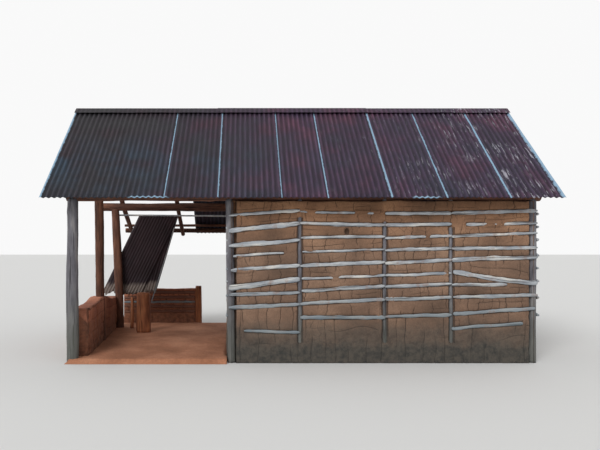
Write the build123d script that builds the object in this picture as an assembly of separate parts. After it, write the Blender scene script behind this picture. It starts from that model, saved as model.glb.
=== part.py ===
from build123d import *
import math
import os

# Wattle and daub house: one mud-walled room and an open kitchen porch under one sheet-metal roof.
# X runs along the ridge, Y from the front wall to the back, Z up. Sizes are in millimetres.
# The origin is on the ground, below the ridge and half-way along the roof.

clearance = 0.3  # gap left between a piece and the seat cut for it

# Plan
left_overhang = 355  # roof past the porch posts
porch_length = 2210  # porch posts to the room's left posts
bay_widths = (943, 1173, 918, 1141)  # between the uprights of the front wall
right_overhang = 290
wall_line = 1460  # middle of the front and rear walls, from the ridge
wall_thickness = 140

# Roof
pitch = 40.8  # degrees, both slopes
front_sheet_length = 2400
rear_sheet_length = 3040
sheet_width = 870
sheet_lap = 90
sheet_wander = (35, 69, 4, 49)  # hand-laid upper sheets, each off its even place
bare_length = 1765  # left end of the rear slope, where the sheets are gone
wave_pitch = 76
wave_depth = 18
sheet_thickness = 3
cap_wing = 170
cap_count = 3  # lengths of ridge cap, the odd ones lapped under
cap_lap = 110
purlin_radius = 30
rafter_radius = 40
rafter_start = 40  # down the slope from the ridge
rafter_bend = 22
rear_rafter_drifts = (105, 55)  # how far the feet of the porch's rear rafters stray along X
ridge_pole_radius = 55
ridge_seat = 15  # how deep the rafters sit on the ridge pole
front_rafter_gap = 270  # front rafters stop short of the sheet ends, over the plate
low_purlin_up = 330  # lowest front purlin, up from the sheet ends
front_purlins_at = (150, front_sheet_length / 2, front_sheet_length - low_purlin_up)  # down from the ridge
rear_purlins_at = (150, 1100, 2030)
eave_pole_at, eave_pole_radius = 2906, 45
thin_pole_at, thin_pole_radius = 2775, 25
eave_pole_start = 20  # from the porch posts
pole_end_gap = 70  # poles stop short of the sheet ends
porch_rafters_at = (60, 1110)  # from the porch posts

# Timber
plate_height = 2320
plate_radius = 75
plate_notch = 34  # how deep the rafters sit on the plates
front_plate_tail = 85  # plates past the posts
rear_plate_tail = 320
right_plate_tail = 110
tie_radius = 50
tie_notch = 15  # how far the ties reach into the plates
tie_bedding = 20  # how far the daub reaches past the tie's edge
post_sides, stick_sides = 10, 8
corner_radius = 55
ridge_post_radius = 50
stud_radius = 30
jamb_radius = 45
post_seat = 30  # how far a post or wall reaches up past the underside of the pole on it
lintel_seat_depth = 15
# Porch posts: strays of the foot, middle and top along X, bow along Y, and radii from the foot up
corner_post_form = ((0, -14, 0), 8, (86, 80, 76))
ridge_post_form = ((38, 14, -10), 6, (74, 70, 64))
rear_post_form = ((55, 20, -35), -6, (78, 75, 72))

# Daub and laths
lath_depth = 24
lath_recess = lath_depth / 2 + clearance  # uprights stand behind the laths
lath_bevel = 3
lath_rows = (250, 440, 630, 820, 1010, 1200, 1400, 1655)  # down from the plates
plain_lath_width = 38
crooked_width = 45  # laths from this width on are crooked
lath_crook = 9
lath_slant, end_lath_slant, low_lath_slant = 16, 14, 7  # most that an end strays up or down
lath_joint = 4
lath_to_door = 20
floor_height = 65
porch_floor_front = 1600
porch_floor_left = 85  # past the porch posts

# Doorway in the porch wall, between a jamb and the ridge post
door_width = 820
door_height = 1900

# Low walls round the kitchen corner
low_wall_at = 170  # inner face at its front end, from the porch posts
low_wall_skew = 3  # degrees, outward to the back
low_wall_thickness = 200
low_wall_height = 755
low_wall_front = -1300
low_wall_past_post = 40
rear_low_wall_line = 2200
rear_low_wall_thickness = 110
rear_low_wall_height = 740
rear_low_wall_length = 1360
end_post_size = 120
end_post_height = 780
end_post_proud = 5
low_lath_rows = (85, 180, 270, 360, 460)  # down from the wall's top
low_lath_gap = 5

# Tin screen over the hearth
rail_drop = 147  # below the plates
rail_tail = 80  # past the porch post
rail_off_post = 15
rail_fall = 29
rail_skew = 6.5  # degrees, seen from above
rail_radius = 15
screen_right = 1145  # right top corner, from the porch posts
screen_bottom = 620
front_sheet_width, front_sheet_turn = 650, 26.3  # degrees from upright
back_sheet_width, back_sheet_turn = 600, 16.7
stick_radius, stick_length, stick_start, stick_inset = 9, 1480, 225, 5
log_radius, log_height, log_place = 120, 760, (594, 880)
prop_radii, prop_bend, prop_height, prop_place = (36, 33, 30), 10, 640, (300, 1340)

roof_length = left_overhang + porch_length + sum(bay_widths) + right_overhang
left_verge = -roof_length / 2
right_verge = roof_length / 2
porch_x = left_verge + left_overhang
room_left = porch_x + porch_length
upright_x = [room_left + sum(bay_widths[:i]) for i in range(len(bay_widths) + 1)]
room_right = upright_x[-1]
slope = math.radians(pitch)
crest = wave_depth / 2

outer_face = wall_line + wall_thickness / 2  # front and rear walls, out from the ridge
inner_face = wall_line - wall_thickness / 2
corner_y = outer_face - lath_recess - corner_radius
left_face = room_left - corner_radius - lath_recess
left_inner = left_face + wall_thickness
right_face = room_right + corner_radius + lath_recess
right_inner = right_face - wall_thickness
side_middle = (left_face + left_inner) / 2
door_rear = -ridge_post_radius
door_front = door_rear - door_width
jamb_y = door_front - jamb_radius
lintel_height = door_height + jamb_radius
post_top = plate_height - plate_radius + post_seat
low_wall_inner = porch_x + low_wall_at
low_wall_rear = wall_line + low_wall_past_post

purlin_depth = crest + clearance + purlin_radius
rafter_depth = crest + 2 * clearance + 2 * purlin_radius + rafter_radius
rafter_underside = rafter_depth + rafter_radius
plate_drop = (rafter_underside + plate_radius - plate_notch) / math.cos(slope)
ridge_height = plate_height + wall_line * math.tan(slope) + plate_drop  # where the two sheet planes meet
ridge_pole_height = ridge_height - (rafter_underside + ridge_pole_radius - ridge_seat) / math.cos(slope)


def block(x, y, z):
    """Box between two values on each axis."""
    size = [high - low for low, high in (x, y, z)]
    return Pos(x[0], y[0], z[0]) * Box(*size, align=(Align.MIN, Align.MIN, Align.MIN))


def joined_rings(rings):
    """Solid through rings of corners. Like rings in parallel planes give flat side faces."""
    faces = [Face(Wire.make_polygon(rings[0])), Face(Wire.make_polygon(rings[-1]))]
    for near, far in zip(rings, rings[1:]):
        for i in range(len(near)):
            j = (i + 1) % len(near)
            faces.append(Face(Wire.make_polygon([near[i], near[j], far[j], far[i]])))
    return Solid(Shell(faces))


def pole(points, radii, sides=post_sides, grow=0.0):
    """Crooked round timber through points, each ring square to the line from end to end."""
    along = (Vector(points[-1]) - Vector(points[0])).normalized()
    upright = abs(along.Z) > 0.9
    along = Vector(0, 0, 1) if upright else along
    across = along.cross(Vector(0, 1, 0) if upright else Vector(0, 0, 1)).normalized()
    up = across.cross(along)
    rings = []
    for point, radius in zip(points, radii):
        ring = []
        for k in range(sides):
            turn = 2 * math.pi * k / sides
            step = across * math.cos(turn) + up * math.sin(turn)
            ring.append(Vector(point) + step * (radius + grow))
        rings.append(ring)
    return joined_rings(rings)


def straight(start, end, radius, sides=post_sides, grow=0.0):
    """Straight round timber of one thickness."""
    return pole([start, end], [radius, radius], sides, grow)


def cut(shape, *tools):
    """Shape less all tools, as a list of its solids."""
    return (Part() + shape - list(tools)).solids()


def on_roof(x, down, out, side):
    """Point on a slope, down from the ridge and out of the sheet plane. Side is -1 in front, 1 behind."""
    y = side * (down * math.cos(slope) + out * math.sin(slope))
    return (x, y, ridge_height - down * math.sin(slope) + out * math.cos(slope))


def wave(x):
    """Height of the corrugation: a flat crest, a flank, a flat trough and a flank to each wave."""
    from_crest = abs((x / wave_pitch + 0.5) % 1 - 0.5) * wave_pitch
    return max(-crest, min(crest, 2 * crest * (1 - 4 * from_crest / wave_pitch)))


def corrugated(low, high, length, place, lift=0.0):
    """Sheet between two X values of its own plane, running along the plane's Y."""
    first = math.ceil(low / wave_pitch * 4 - 0.5)
    last = math.floor(high / wave_pitch * 4 - 0.5)
    folds = [(k + 0.5) * wave_pitch / 4 for k in range(first, last + 1)]
    folds = [low] + [x for x in folds if low + 1 < x < high - 1] + [high]
    under = [(x, 0, wave(x) + lift) for x in folds]
    over = [(x, 0, z + sheet_thickness) for x, y, z in reversed(under)]
    end = Face(Wire.make_polygon([Vector(*p) for p in under + over]))
    return place * extrude(end, amount=length, dir=(0, 1, 0))


def slope_plane(side):
    """Plane of one slope, with Y down it and Z out of it."""
    down = Vector(0, side * math.cos(slope), -math.sin(slope))
    out = Vector(0, side * math.sin(slope), math.cos(slope))
    start = Vector(0, 0, ridge_height) + down * (crest * math.tan(slope) + 2 * clearance)
    return Plane(origin=start, x_dir=down.cross(out), z_dir=out)


def channel(x, y, radius, face_x=None, face_y=None, sides=post_sides):
    """Groove for an upright, open to the wall's outer face in front of it."""
    height = (-1, ridge_height)
    wide = radius + clearance
    seat = straight((x, y, -1), (x, y, ridge_height), radius, sides, clearance)
    if face_y is not None:
        beyond = face_y + math.copysign(1, face_y)
        return seat + block((x - wide, x + wide), sorted((y, beyond)), height)
    beyond = face_x + math.copysign(1, face_x)
    return seat + block(sorted((x, beyond)), (y - wide, y + wide), height)


def corner_channel(x, y, face_x, face_y):
    """Groove that leaves a corner post open on both outer faces."""
    both = channel(x, y, corner_radius, face_y=face_y) + channel(x, y, corner_radius, face_x=face_x)
    beyond_x, beyond_y = (face + math.copysign(1, face) for face in (face_x, face_y))
    return both + block(sorted((x, beyond_x)), sorted((y, beyond_y)), (-1, ridge_height))


def lath(start, end, width, outward, crook=0.0, grow=0.0):
    """Split lath let half-way into the daub, a little narrower on its outer face."""
    middle = [(a + b) / 2 for a, b in zip(start, end)]
    middle[2] += crook
    points = [start, middle, end] if crook else [start, end]
    deep = Vector(*outward) * (lath_depth / 2 + grow)
    inner, outer = width / 2 + grow, width / 2 + grow - lath_bevel
    corners = (-deep + Vector(0, 0, inner), deep + Vector(0, 0, outer))
    corners += (deep - Vector(0, 0, outer), -deep - Vector(0, 0, inner))
    return joined_rings([[Vector(*point) + corner for corner in corners] for point in points])


pieces = {}

# Poles that others seat on
front_plate_ends = (porch_x - front_plate_tail, room_right + right_plate_tail)
rear_plate_ends = (porch_x - rear_plate_tail, room_right + right_plate_tail)


def plate(ends, y, grow=0.0):
    """Wall plate along a long wall."""
    start, end = (ends[0] - grow, y, plate_height), (ends[1] + grow, y, plate_height)
    return straight(start, end, plate_radius, grow=grow)


def ridge_pole(grow=0.0):
    """Pole along the ridge."""
    inset = pole_end_gap - grow
    start = (left_verge + inset, 0, ridge_pole_height)
    end = (right_verge - inset, 0, ridge_pole_height)
    return straight(start, end, ridge_pole_radius, grow=grow)


front_plate_seat = plate(front_plate_ends, -wall_line, clearance)
rear_plate_seat = plate(rear_plate_ends, wall_line, clearance)
ridge_seat_cut = ridge_pole(clearance)
pieces["front_plate"] = [plate(front_plate_ends, -wall_line)]
pieces["rear_plate"] = [plate(rear_plate_ends, wall_line)]
pieces["ridge_pole"] = [ridge_pole()]

# Rafters, notched over the ridge pole, the plates and the outer eave pole
rafter_x = [porch_x + x for x in porch_rafters_at] + upright_x
eave_pole_depth = crest + clearance + eave_pole_radius
thin_pole_depth = rafter_depth - rafter_radius - clearance - thin_pole_radius


def roof_pole(x_low, x_high, down, depth, radius, side, bow=0.0, grow=0.0):
    """Pole along the roof under the sheets, bowed a little up or down the slope."""
    middle = on_roof((x_low + x_high) / 2, down + bow, -depth, side)
    ends = [on_roof(x, down, -depth, side) for x in (x_low, x_high)]
    return pole([ends[0], middle, ends[1]], [radius] * 3, stick_sides, grow)


def rafter(x, index, side, grow=0.0):
    """Crooked rafter pole from the ridge over the plate to the eave."""
    foot = rear_sheet_length - pole_end_gap if side > 0 else front_sheet_length - front_rafter_gap
    bend = rafter_bend * math.sin(2.1 * index + side)
    drift = rear_rafter_drifts[index] if side > 0 and index < len(rear_rafter_drifts) else bend / 3
    at_plate = wall_line / math.cos(slope)
    route = ((x, rafter_start), (x + bend, at_plate), (x + drift, foot))
    points = [on_roof(across, down, -rafter_depth, side) for across, down in route]
    return pole(points, [rafter_radius] * 3, stick_sides, grow)


def rafter_seats():
    """All rafters a little larger, for the daub that is packed round them."""
    return [rafter(x, i, side, clearance) for i, x in enumerate(rafter_x) for side in (-1, 1)]


eave_span = (porch_x + eave_pole_start, right_verge - pole_end_gap)
eave_bow, thin_bow = 12, -10


def eave_pole(grow=0.0):
    """Pole under the tails of the rear rafters."""
    return roof_pole(*eave_span, eave_pole_at, eave_pole_depth, eave_pole_radius, 1, eave_bow, grow)


eave_seat = eave_pole(clearance)
for side, name in ((-1, "front_rafters"), (1, "rear_rafters")):
    past_ridge = sorted((side * clearance / 2, -side * wall_line))
    other_half = block((left_verge, right_verge), past_ridge, (0, 2 * ridge_height))
    seats = [ridge_seat_cut, other_half, front_plate_seat if side < 0 else rear_plate_seat]
    if side > 0:
        seats.append(eave_seat)
    pieces[name] = [s for i, x in enumerate(rafter_x) for s in cut(rafter(x, i, side), *seats)]

purlin_ends = (left_verge + pole_end_gap, right_verge - pole_end_gap)
bows = (14, -18, 12)
for side, name, places in ((-1, "front_purlins", front_purlins_at), (1, "rear_purlins", rear_purlins_at)):
    pieces[name] = [
        roof_pole(*purlin_ends, at, purlin_depth, purlin_radius, side, -side * bow)
        for at, bow in zip(places, bows)
    ]
thin_pole = roof_pole(*eave_span, thin_pole_at, thin_pole_depth, thin_pole_radius, 1, thin_bow)
pieces["rear_eave_poles"] = [eave_pole(), thin_pole]

# Ties across the two end walls of the room
ridge_post_inset = lath_recess + ridge_post_radius
ridge_post_x = (left_face + ridge_post_inset, right_face - ridge_post_inset)
ridge_post_top = ridge_pole_height - post_seat
ridge_post_seats = [
    straight((x, 0, 0), (x, 0, ridge_height), ridge_post_radius, grow=clearance) for x in ridge_post_x
]
tie_ends = wall_line - plate_radius + tie_notch


def tie(x, grow=0.0):
    """Pole from the front plate to the rear plate."""
    return straight((x, -tie_ends, plate_height), (x, tie_ends, plate_height), tie_radius, stick_sides, grow)


tie_seats = [tie(x, clearance) for x in (room_left, room_right)]
tie_cuts = [front_plate_seat, rear_plate_seat, *ridge_post_seats]
pieces["gable_ties"] = [s for x in (room_left, room_right) for s in cut(tie(x), *tie_cuts)]

# Uprights
def porch_post(form, y, top, grow=0.0):
    """Thick crooked post of the porch."""
    strays, bow, radii = form
    feet = [porch_x + stray for stray in strays]
    points = [(feet[0], y, 0), (feet[1], y + bow, top / 2), (feet[2], y, top)]
    return pole(points, radii, grow=grow)


porch_posts = {
    "porch_corner_post": (corner_post_form, -wall_line, post_top),
    "porch_ridge_post": (ridge_post_form, 0, ridge_post_top),
    "porch_rear_post": (rear_post_form, wall_line, post_top),
}
for name, post in porch_posts.items():
    pieces[name] = cut(porch_post(*post), front_plate_seat, ridge_seat_cut, rear_plate_seat)
porch_post_seats = [porch_post(*post, grow=clearance) for post in porch_posts.values()]

corners = [(x, y) for x in (room_left, room_right) for y in (-corner_y, corner_y)]
pieces["room_corner_posts"] = [
    s
    for x, y in corners
    for s in cut(
        straight((x, y, 0), (x, y, post_top), corner_radius),
        front_plate_seat if y < 0 else rear_plate_seat,
    )
]
pieces["room_ridge_posts"] = [
    s
    for x in ridge_post_x
    for s in cut(straight((x, 0, 0), (x, 0, ridge_post_top), ridge_post_radius), ridge_seat_cut)
]

stud_y = outer_face - lath_recess - stud_radius
side_stud_x = right_face - lath_recess - stud_radius
porch_stud_x = left_face + lath_recess + stud_radius
side_stud_y = wall_line / 2
long_wall_studs = [(x, y) for y in (-stud_y, stud_y) for x in upright_x[1:-1]]
end_wall_studs = [(side_stud_x, -side_stud_y), (side_stud_x, side_stud_y), (porch_stud_x, side_stud_y)]
stud_top = plate_height - tie_radius + post_seat
seats_above = [front_plate_seat, rear_plate_seat, *tie_seats]
pieces["wall_studs"] = [
    s
    for x, y in long_wall_studs + end_wall_studs
    for s in cut(straight((x, y, 0), (x, y, stud_top), stud_radius, stick_sides), *seats_above)
]


def lintel(grow=0.0):
    """Pole over the doorway, from past the jamb to the ridge post."""
    start = (side_middle, jamb_y - jamb_radius - grow, lintel_height)
    return straight(start, (side_middle, 0, lintel_height), jamb_radius, grow=grow)


def jamb(low, high, grow=0.0):
    """Upright at the front side of the doorway."""
    return straight((side_middle, jamb_y, low), (side_middle, jamb_y, high), jamb_radius, grow=grow)


pieces["door_lintel"] = cut(lintel(), *ridge_post_seats)
lintel_seat = lintel(clearance)
jamb_seat = jamb(-1, lintel_height, clearance)
pieces["door_jamb"] = cut(jamb(0, lintel_height - jamb_radius + lintel_seat_depth), lintel_seat)

# Laths of the front wall, bay by bay: drops of both ends below the plates, width, and insets of both ends
front_laths = (
    (
        (282, 213, 35, 0, 0),
        (496, 392, 55, 0, 0),
        (696, 620, 48, 0, 0),
        (841, 799, 30, 60, 220),
        (1041, 972, 40, 30, 0),
        (1280, 1155, 62, 0, 0),
        (1380, 1342, 38, 0, 0),
        (1558, 1510, 45, 0, 0),
        (1876, 1896, 35, 210, 0),
    ),
    (
        (234, 254, 25, 70, 25),
        (390, 413, 40, 0, 0),
        (585, 572, 32, 10, 0),
        (786, 751, 25, 30, 0),
        (972, 924, 42, 0, 0),
        (1158, 1110, 28, 20, 0),
        (1324, 1255, 40, 20, 0),
        (1503, 1441, 40, 0, 110),
        (1689, 1689, 42, 0, 110),
    ),
    (
        (254, 247, 38, 0, 0),
        (413, 406, 42, 0, 0),
        (592, 565, 32, 0, 70),
        (758, 737, 35, 40, 0),
        (937, 896, 42, 0, 0),
        (1110, 1075, 32, 0, 0),
        (1269, 1227, 40, 0, 0),
        (1441, 1407, 40, 130, 0),
        (1676, 1648, 38, 0, 0),
    ),
    (
        (247, 213, 40, 0, 0),
        (406, 385, 35, 200, 70),
        (565, 523, 32, 0, 0),
        (737, 723, 38, 0, 0),
        (896, 861, 45, 0, 0),
        (1062, 1213, 50, 20, 100),
        (1241, 1230, 36, 0, 420),
        (1407, 1379, 38, 20, 80),
        (1641, 1565, 42, 20, 30),
        (1834, 1772, 36, 50, 200),
    ),
)
post_lap = corner_radius - 12  # laths run over the corner posts
bay_ends = [room_left - post_lap] + upright_x[1:-1] + [room_right + post_lap]


def front_lath_set(grow=0.0):
    """All laths of the front wall."""
    made = []
    for bay, rows in enumerate(front_laths):
        low, high = bay_ends[bay] + lath_joint / 2 - grow, bay_ends[bay + 1] - lath_joint / 2 + grow
        for row, (left_drop, right_drop, width, left_inset, right_inset) in enumerate(rows):
            crook = lath_crook * math.sin(1.9 * row + 2.3 * bay + 0.6) if width >= crooked_width else 0
            start = (low + left_inset, -outer_face, plate_height - left_drop)
            end = (high - right_inset, -outer_face, plate_height - right_drop)
            made.append(lath(start, end, width, (0, -1, 0), crook, grow))
    return made


def rear_lath_set(grow=0.0):
    """Two lengths to each row, meeting on a stud."""
    made = []
    for row, drop in enumerate(lath_rows):
        z = plate_height - drop
        meet = upright_x[2 + row % 2 - (row % 3 == 0)]
        spans = ((bay_ends[0], meet - lath_joint / 2), (meet + lath_joint / 2, bay_ends[-1]))
        for part, (low, high) in enumerate(spans):
            rise = lath_slant * math.sin(2.7 * row + part)
            start, end = (low - grow, outer_face, z - rise), (high + grow, outer_face, z + rise)
            made.append(lath(start, end, plain_lath_width, (0, 1, 0), 0, grow))
    return made


def end_lath_set(face, low, high, grow=0.0):
    """Laths across an end wall, from one Y to another."""
    made = []
    outward = (math.copysign(1, face), 0, 0)
    for row, drop in enumerate(lath_rows):
        z = plate_height - drop
        rise = end_lath_slant * math.sin(2.1 * row + outward[0])
        start, end = (face, low - grow, z - rise), (face, high + grow, z + rise)
        made.append(lath(start, end, plain_lath_width, outward, 0, grow))
    return made


lath_span = corner_y + post_lap


def right_lath_set(grow=0.0):
    """Laths of the right end wall."""
    return end_lath_set(right_face, -lath_span, lath_span, grow)


def porch_lath_set(grow=0.0):
    """Laths of the porch wall, before and behind its doorway."""
    before = end_lath_set(left_face, -lath_span, door_front - lath_to_door, grow)
    return before + end_lath_set(left_face, door_rear + lath_to_door, lath_span, grow)


pieces["front_laths"] = front_lath_set()
pieces["rear_laths"] = rear_lath_set()
pieces["right_laths"] = right_lath_set()
pieces["porch_wall_laths"] = porch_lath_set()
side_lath_seats = right_lath_set(clearance) + porch_lath_set(clearance)

# Daub walls
end_wall_top = plate_height - tie_radius + tie_bedding
long_wall_x = (left_face, right_face)
for side, name, laths, plate_seat in (
    (-1, "front_wall", front_lath_set(clearance), front_plate_seat),
    (1, "rear_wall", rear_lath_set(clearance), rear_plate_seat),
):
    face = side * outer_face
    body = block(long_wall_x, sorted((face, side * inner_face)), (0, post_top))
    studs = [channel(x, side * stud_y, stud_radius, face_y=face, sides=stick_sides) for x in upright_x[1:-1]]
    edges = ((room_left, left_face), (room_right, right_face))
    ends = [corner_channel(x, side * corner_y, edge, face) for x, edge in edges]
    pieces[name] = cut(body, plate_seat, *tie_seats, *studs, *ends, *laths, *side_lath_seats)

right_x = (right_inner, right_face)
left_x = (left_face, left_inner)
left_ridge_channel = channel(ridge_post_x[0], 0, ridge_post_radius, face_x=left_face)
right_ridge_channel = channel(ridge_post_x[1], 0, ridge_post_radius, face_x=right_face)
right_channels = [
    channel(x, y, stud_radius, face_x=right_face, sides=stick_sides) for x, y in end_wall_studs[:2]
]
left_channel = channel(*end_wall_studs[2], stud_radius, face_x=left_face, sides=stick_sides)
wall_cuts = [*seats_above, *side_lath_seats]

pieces["right_wall"] = cut(
    block(right_x, (-inner_face, inner_face), (0, end_wall_top)),
    right_ridge_channel, *right_channels, *wall_cuts,
)
pieces["porch_wall_front"] = cut(
    block(left_x, (-inner_face, jamb_y), (0, end_wall_top)), jamb_seat, lintel_seat, *wall_cuts
)
pieces["porch_wall_rear"] = cut(
    block(left_x, (0, inner_face), (0, end_wall_top)), left_ridge_channel, left_channel, *wall_cuts
)
pieces["porch_wall_over_door"] = cut(
    block(left_x, (jamb_y, 0), (lintel_height, end_wall_top)),
    left_ridge_channel, lintel_seat, jamb_seat, *wall_cuts,
)


def gable(x_range, post_channel):
    """Daub above the tie, packed up round the rafters."""
    base = plate_height + tie_radius - tie_bedding
    edge = ridge_height - inner_face * math.tan(slope) - rafter_depth / math.cos(slope)
    top_half = (ridge_height - rafter_depth / math.cos(slope) - ridge_pole_height) / math.tan(slope)
    outline = [(-inner_face, base), (-inner_face, edge), (-top_half, ridge_pole_height)]
    outline += [(-y, z) for y, z in reversed(outline)]
    face = Face(Wire.make_polygon([Vector(x_range[0], y, z) for y, z in outline]))
    body = extrude(face, amount=x_range[1] - x_range[0], dir=(1, 0, 0))
    return cut(body, post_channel, ridge_seat_cut, *seats_above, *rafter_seats())


pieces["porch_gable"] = gable(left_x, left_ridge_channel)
pieces["right_gable"] = gable(right_x, right_ridge_channel)


def over_plan(corners, height):
    """Upright solid over an outline on the ground."""
    outline = Wire.make_polygon([Vector(x, y, 0) for x, y in corners])
    return extrude(Face(outline), amount=height, dir=(0, 0, 1))


def low_wall_face(y):
    """X of the left low wall's inner face."""
    return low_wall_inner - (y - low_wall_front) * math.tan(math.radians(low_wall_skew))


# Earth floors. The porch floor runs back to the rear low wall.
rear_low_front = rear_low_wall_line - rear_low_wall_thickness / 2
floor_rear = rear_low_front - end_post_proud
floor_left = porch_x - porch_floor_left
porch_floor_corners = [(floor_left, -porch_floor_front), (left_face, -porch_floor_front)]
porch_floor_corners += [(left_face, floor_rear), (low_wall_face(floor_rear), floor_rear)]
porch_floor_corners += [(low_wall_inner, low_wall_front), (floor_left, low_wall_front)]
pieces["porch_floor"] = cut(over_plan(porch_floor_corners, floor_height), *porch_post_seats)
room_floor = block((left_inner, right_inner), (-inner_face, inner_face), (0, floor_height))
room_floor += block((left_face, left_inner), (jamb_y, 0), (0, floor_height))
pieces["room_floor"] = cut(room_floor, jamb_seat, left_ridge_channel)

# Low mud walls round the kitchen corner
rear_low_back = rear_low_wall_line + rear_low_wall_thickness / 2
rear_low_start = low_wall_face(floor_rear)
rear_low_end = low_wall_inner + rear_low_wall_length - end_post_size


def low_lath_set(grow=0.0):
    """Laths on the inner face of the rear low wall."""
    made = []
    low, high = rear_low_start + low_lath_gap - grow, rear_low_end - low_lath_gap + grow
    for row, drop in enumerate(low_lath_rows):
        z = rear_low_wall_height - drop
        rise = low_lath_slant * math.sin(1.7 * row)
        start, end = (low, rear_low_front, z - rise), (high, rear_low_front, z + rise)
        made.append(lath(start, end, plain_lath_width, (0, -1, 0), 0, grow))
    return made


left_low_corners = [(low_wall_inner, low_wall_front), (low_wall_face(low_wall_rear), low_wall_rear)]
left_low_corners += [(x - low_wall_thickness, y) for x, y in reversed(left_low_corners)]
pieces["left_low_wall"] = cut(over_plan(left_low_corners, low_wall_height), *porch_post_seats)
rear_low_y = (rear_low_front, rear_low_back)
rear_low_body = block((rear_low_start, rear_low_end), rear_low_y, (0, rear_low_wall_height))
pieces["rear_low_wall"] = cut(rear_low_body, *low_lath_set(clearance))
pieces["low_wall_laths"] = low_lath_set()
end_post_x = (rear_low_end, rear_low_end + end_post_size)
end_post_y = (rear_low_front - end_post_proud, rear_low_back + end_post_proud)
pieces["low_wall_end_post"] = [block(end_post_x, end_post_y, (0, end_post_height))]

# Rail behind the rear post, and two sheets hung askew under it with level ends
rail_y = wall_line + max(rear_post_form[-1]) + rail_radius + rail_off_post
rail_start = Vector(porch_x - rail_tail, rail_y, plate_height - rail_drop)
rail_run = left_face - clearance - rail_start.X
rail_end = rail_start + Vector(rail_run, -rail_run * math.tan(math.radians(rail_skew)), -rail_fall)
rail_overrun = (rail_end - rail_start).normalized() * (wall_thickness / 2)
rail = straight(tuple(rail_start), tuple(rail_end + rail_overrun), rail_radius)
wall_ahead = block((left_face - clearance, left_inner), (0, inner_face), (0, ridge_height))
pieces["rear_rail"] = cut(rail, wall_ahead)

screen_across = (rail_end - rail_start).normalized()
screen_out = screen_across.cross(Vector(0, 0, 1)).normalized()
screen_up = screen_out.cross(screen_across)
rail_flat = rail_radius * math.cos(math.pi / post_sides)  # down to the rail's flat underside
under_rail = rail_start - screen_up * (rail_flat + clearance)
screen_corner = under_rail + screen_across * ((porch_x + screen_right - rail_start.X) / screen_across.X)
rail_plane = Plane(origin=under_rail, x_dir=screen_across, z_dir=screen_up)
above_size = (2 * roof_length, wall_line, ridge_height)
above_rail = rail_plane * Box(*above_size, align=(Align.CENTER, Align.CENTER, Align.MIN))
below_screen = block((2 * left_verge, 0), (0, 2 * wall_line), (-ridge_height, screen_bottom))
# Crests of the back sheet lie against troughs of the front one
back_sheet_out = -wave_depth - sheet_thickness - clearance


def along_sheet(turn):
    """Direction of a sheet's waves, down and to the left."""
    return -screen_up * math.cos(math.radians(turn)) - screen_across * math.sin(math.radians(turn))


def screen_sheet(width, turn, out):
    """Sheet turned about the screen's top right corner, its ends cut level."""
    leftward = along_sheet(turn).cross(screen_out)
    place = Plane(origin=screen_corner + screen_out * out, x_dir=leftward, z_dir=screen_out)
    sheet = corrugated(0, width, 2 * plate_height, place)
    return cut(sheet, above_rail, below_screen)


front_sheet = screen_sheet(front_sheet_width, front_sheet_turn, 0)
pieces["screen_sheets"] = front_sheet + screen_sheet(back_sheet_width, back_sheet_turn, back_sheet_out)

log_x, log_y = porch_x + log_place[0], log_place[1]
pieces["hearth_log"] = [straight((log_x, log_y, floor_height), (log_x, log_y, log_height), log_radius)]
prop_x, prop_y = porch_x + prop_place[0], prop_place[1]
prop_middle = (prop_x + prop_bend, prop_y, (floor_height + prop_height) / 2)
prop_points = [(prop_x, prop_y, floor_height), prop_middle, (prop_x, prop_y, prop_height)]
pieces["hearth_prop"] = [pole(prop_points, prop_radii, stick_sides)]

stick_out = back_sheet_out + crest + sheet_thickness + clearance + stick_radius
stick_down = along_sheet(back_sheet_turn)
stick_side = stick_down.cross(screen_out)
stick_top = screen_corner + screen_out * stick_out + stick_down * stick_start + stick_side * stick_inset
stick_foot = stick_top + stick_down * stick_length
pieces["screen_stick"] = [straight(tuple(stick_top), tuple(stick_foot), stick_radius, stick_sides)]

# Roof sheets: whole upper sheets, and lower sheets that run under their edges
sheet_count = math.ceil((roof_length - sheet_lap) / (sheet_width - sheet_lap))
sheet_count += 1 - sheet_count % 2
sheet_step_x = (roof_length - sheet_width) / (sheet_count - 1)
wander = [sheet_wander[(i // 2) % len(sheet_wander)] for i in range(1, sheet_count, 2)]
over_starts = [left_verge + i * sheet_step_x + stray for i, stray in zip(range(1, sheet_count, 2), wander)]
over_spans = [(start, start + sheet_width) for start in over_starts]
under_lows = [left_verge] + [high - sheet_lap for low, high in over_spans]
under_highs = [low + sheet_lap for low, high in over_spans] + [right_verge]
under_spans = list(zip(under_lows, under_highs))
bare_end = left_verge + bare_length
over_lift = sheet_thickness + clearance
for side, length, word in ((-1, front_sheet_length, "front"), (1, rear_sheet_length, "rear")):
    place = slope_plane(side)
    mirror = place.x_dir.X
    for kind, spans, lift in (("under", under_spans, 0), ("over", over_spans, over_lift)):
        made = []
        for low, high in spans:
            if side > 0 and high < bare_end + 2 * sheet_lap:
                continue
            low = max(low, bare_end) if side > 0 else low
            ends = sorted((low * mirror, high * mirror))
            made += corrugated(*ends, length, place, lift).solids()
        pieces[f"{word}_{kind}_sheets"] = made

# Ridge cap: sheets folded over both slopes, each second one lapped over its neighbours
cap_inside = crest + sheet_thickness + over_lift + clearance
cap_step = (roof_length - cap_lap) / cap_count


def cap_sheet(index):
    """One length of the ridge cap."""
    start = left_verge + index * cap_step
    inside = cap_inside + index % 2 * over_lift
    outline = []
    for out, order in ((inside + sheet_thickness, (-1, 1)), (inside, (1, -1))):
        near, far = (on_roof(start, cap_wing, out, side) for side in order)
        outline += [Vector(*near), Vector(start, 0, ridge_height + out / math.cos(slope)), Vector(*far)]
    return extrude(Face(Wire.make_polygon(outline)), amount=cap_step + cap_lap, dir=(1, 0, 0)).solid()


pieces["ridge_cap"] = [cap_sheet(i) for i in range(cap_count)]

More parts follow.
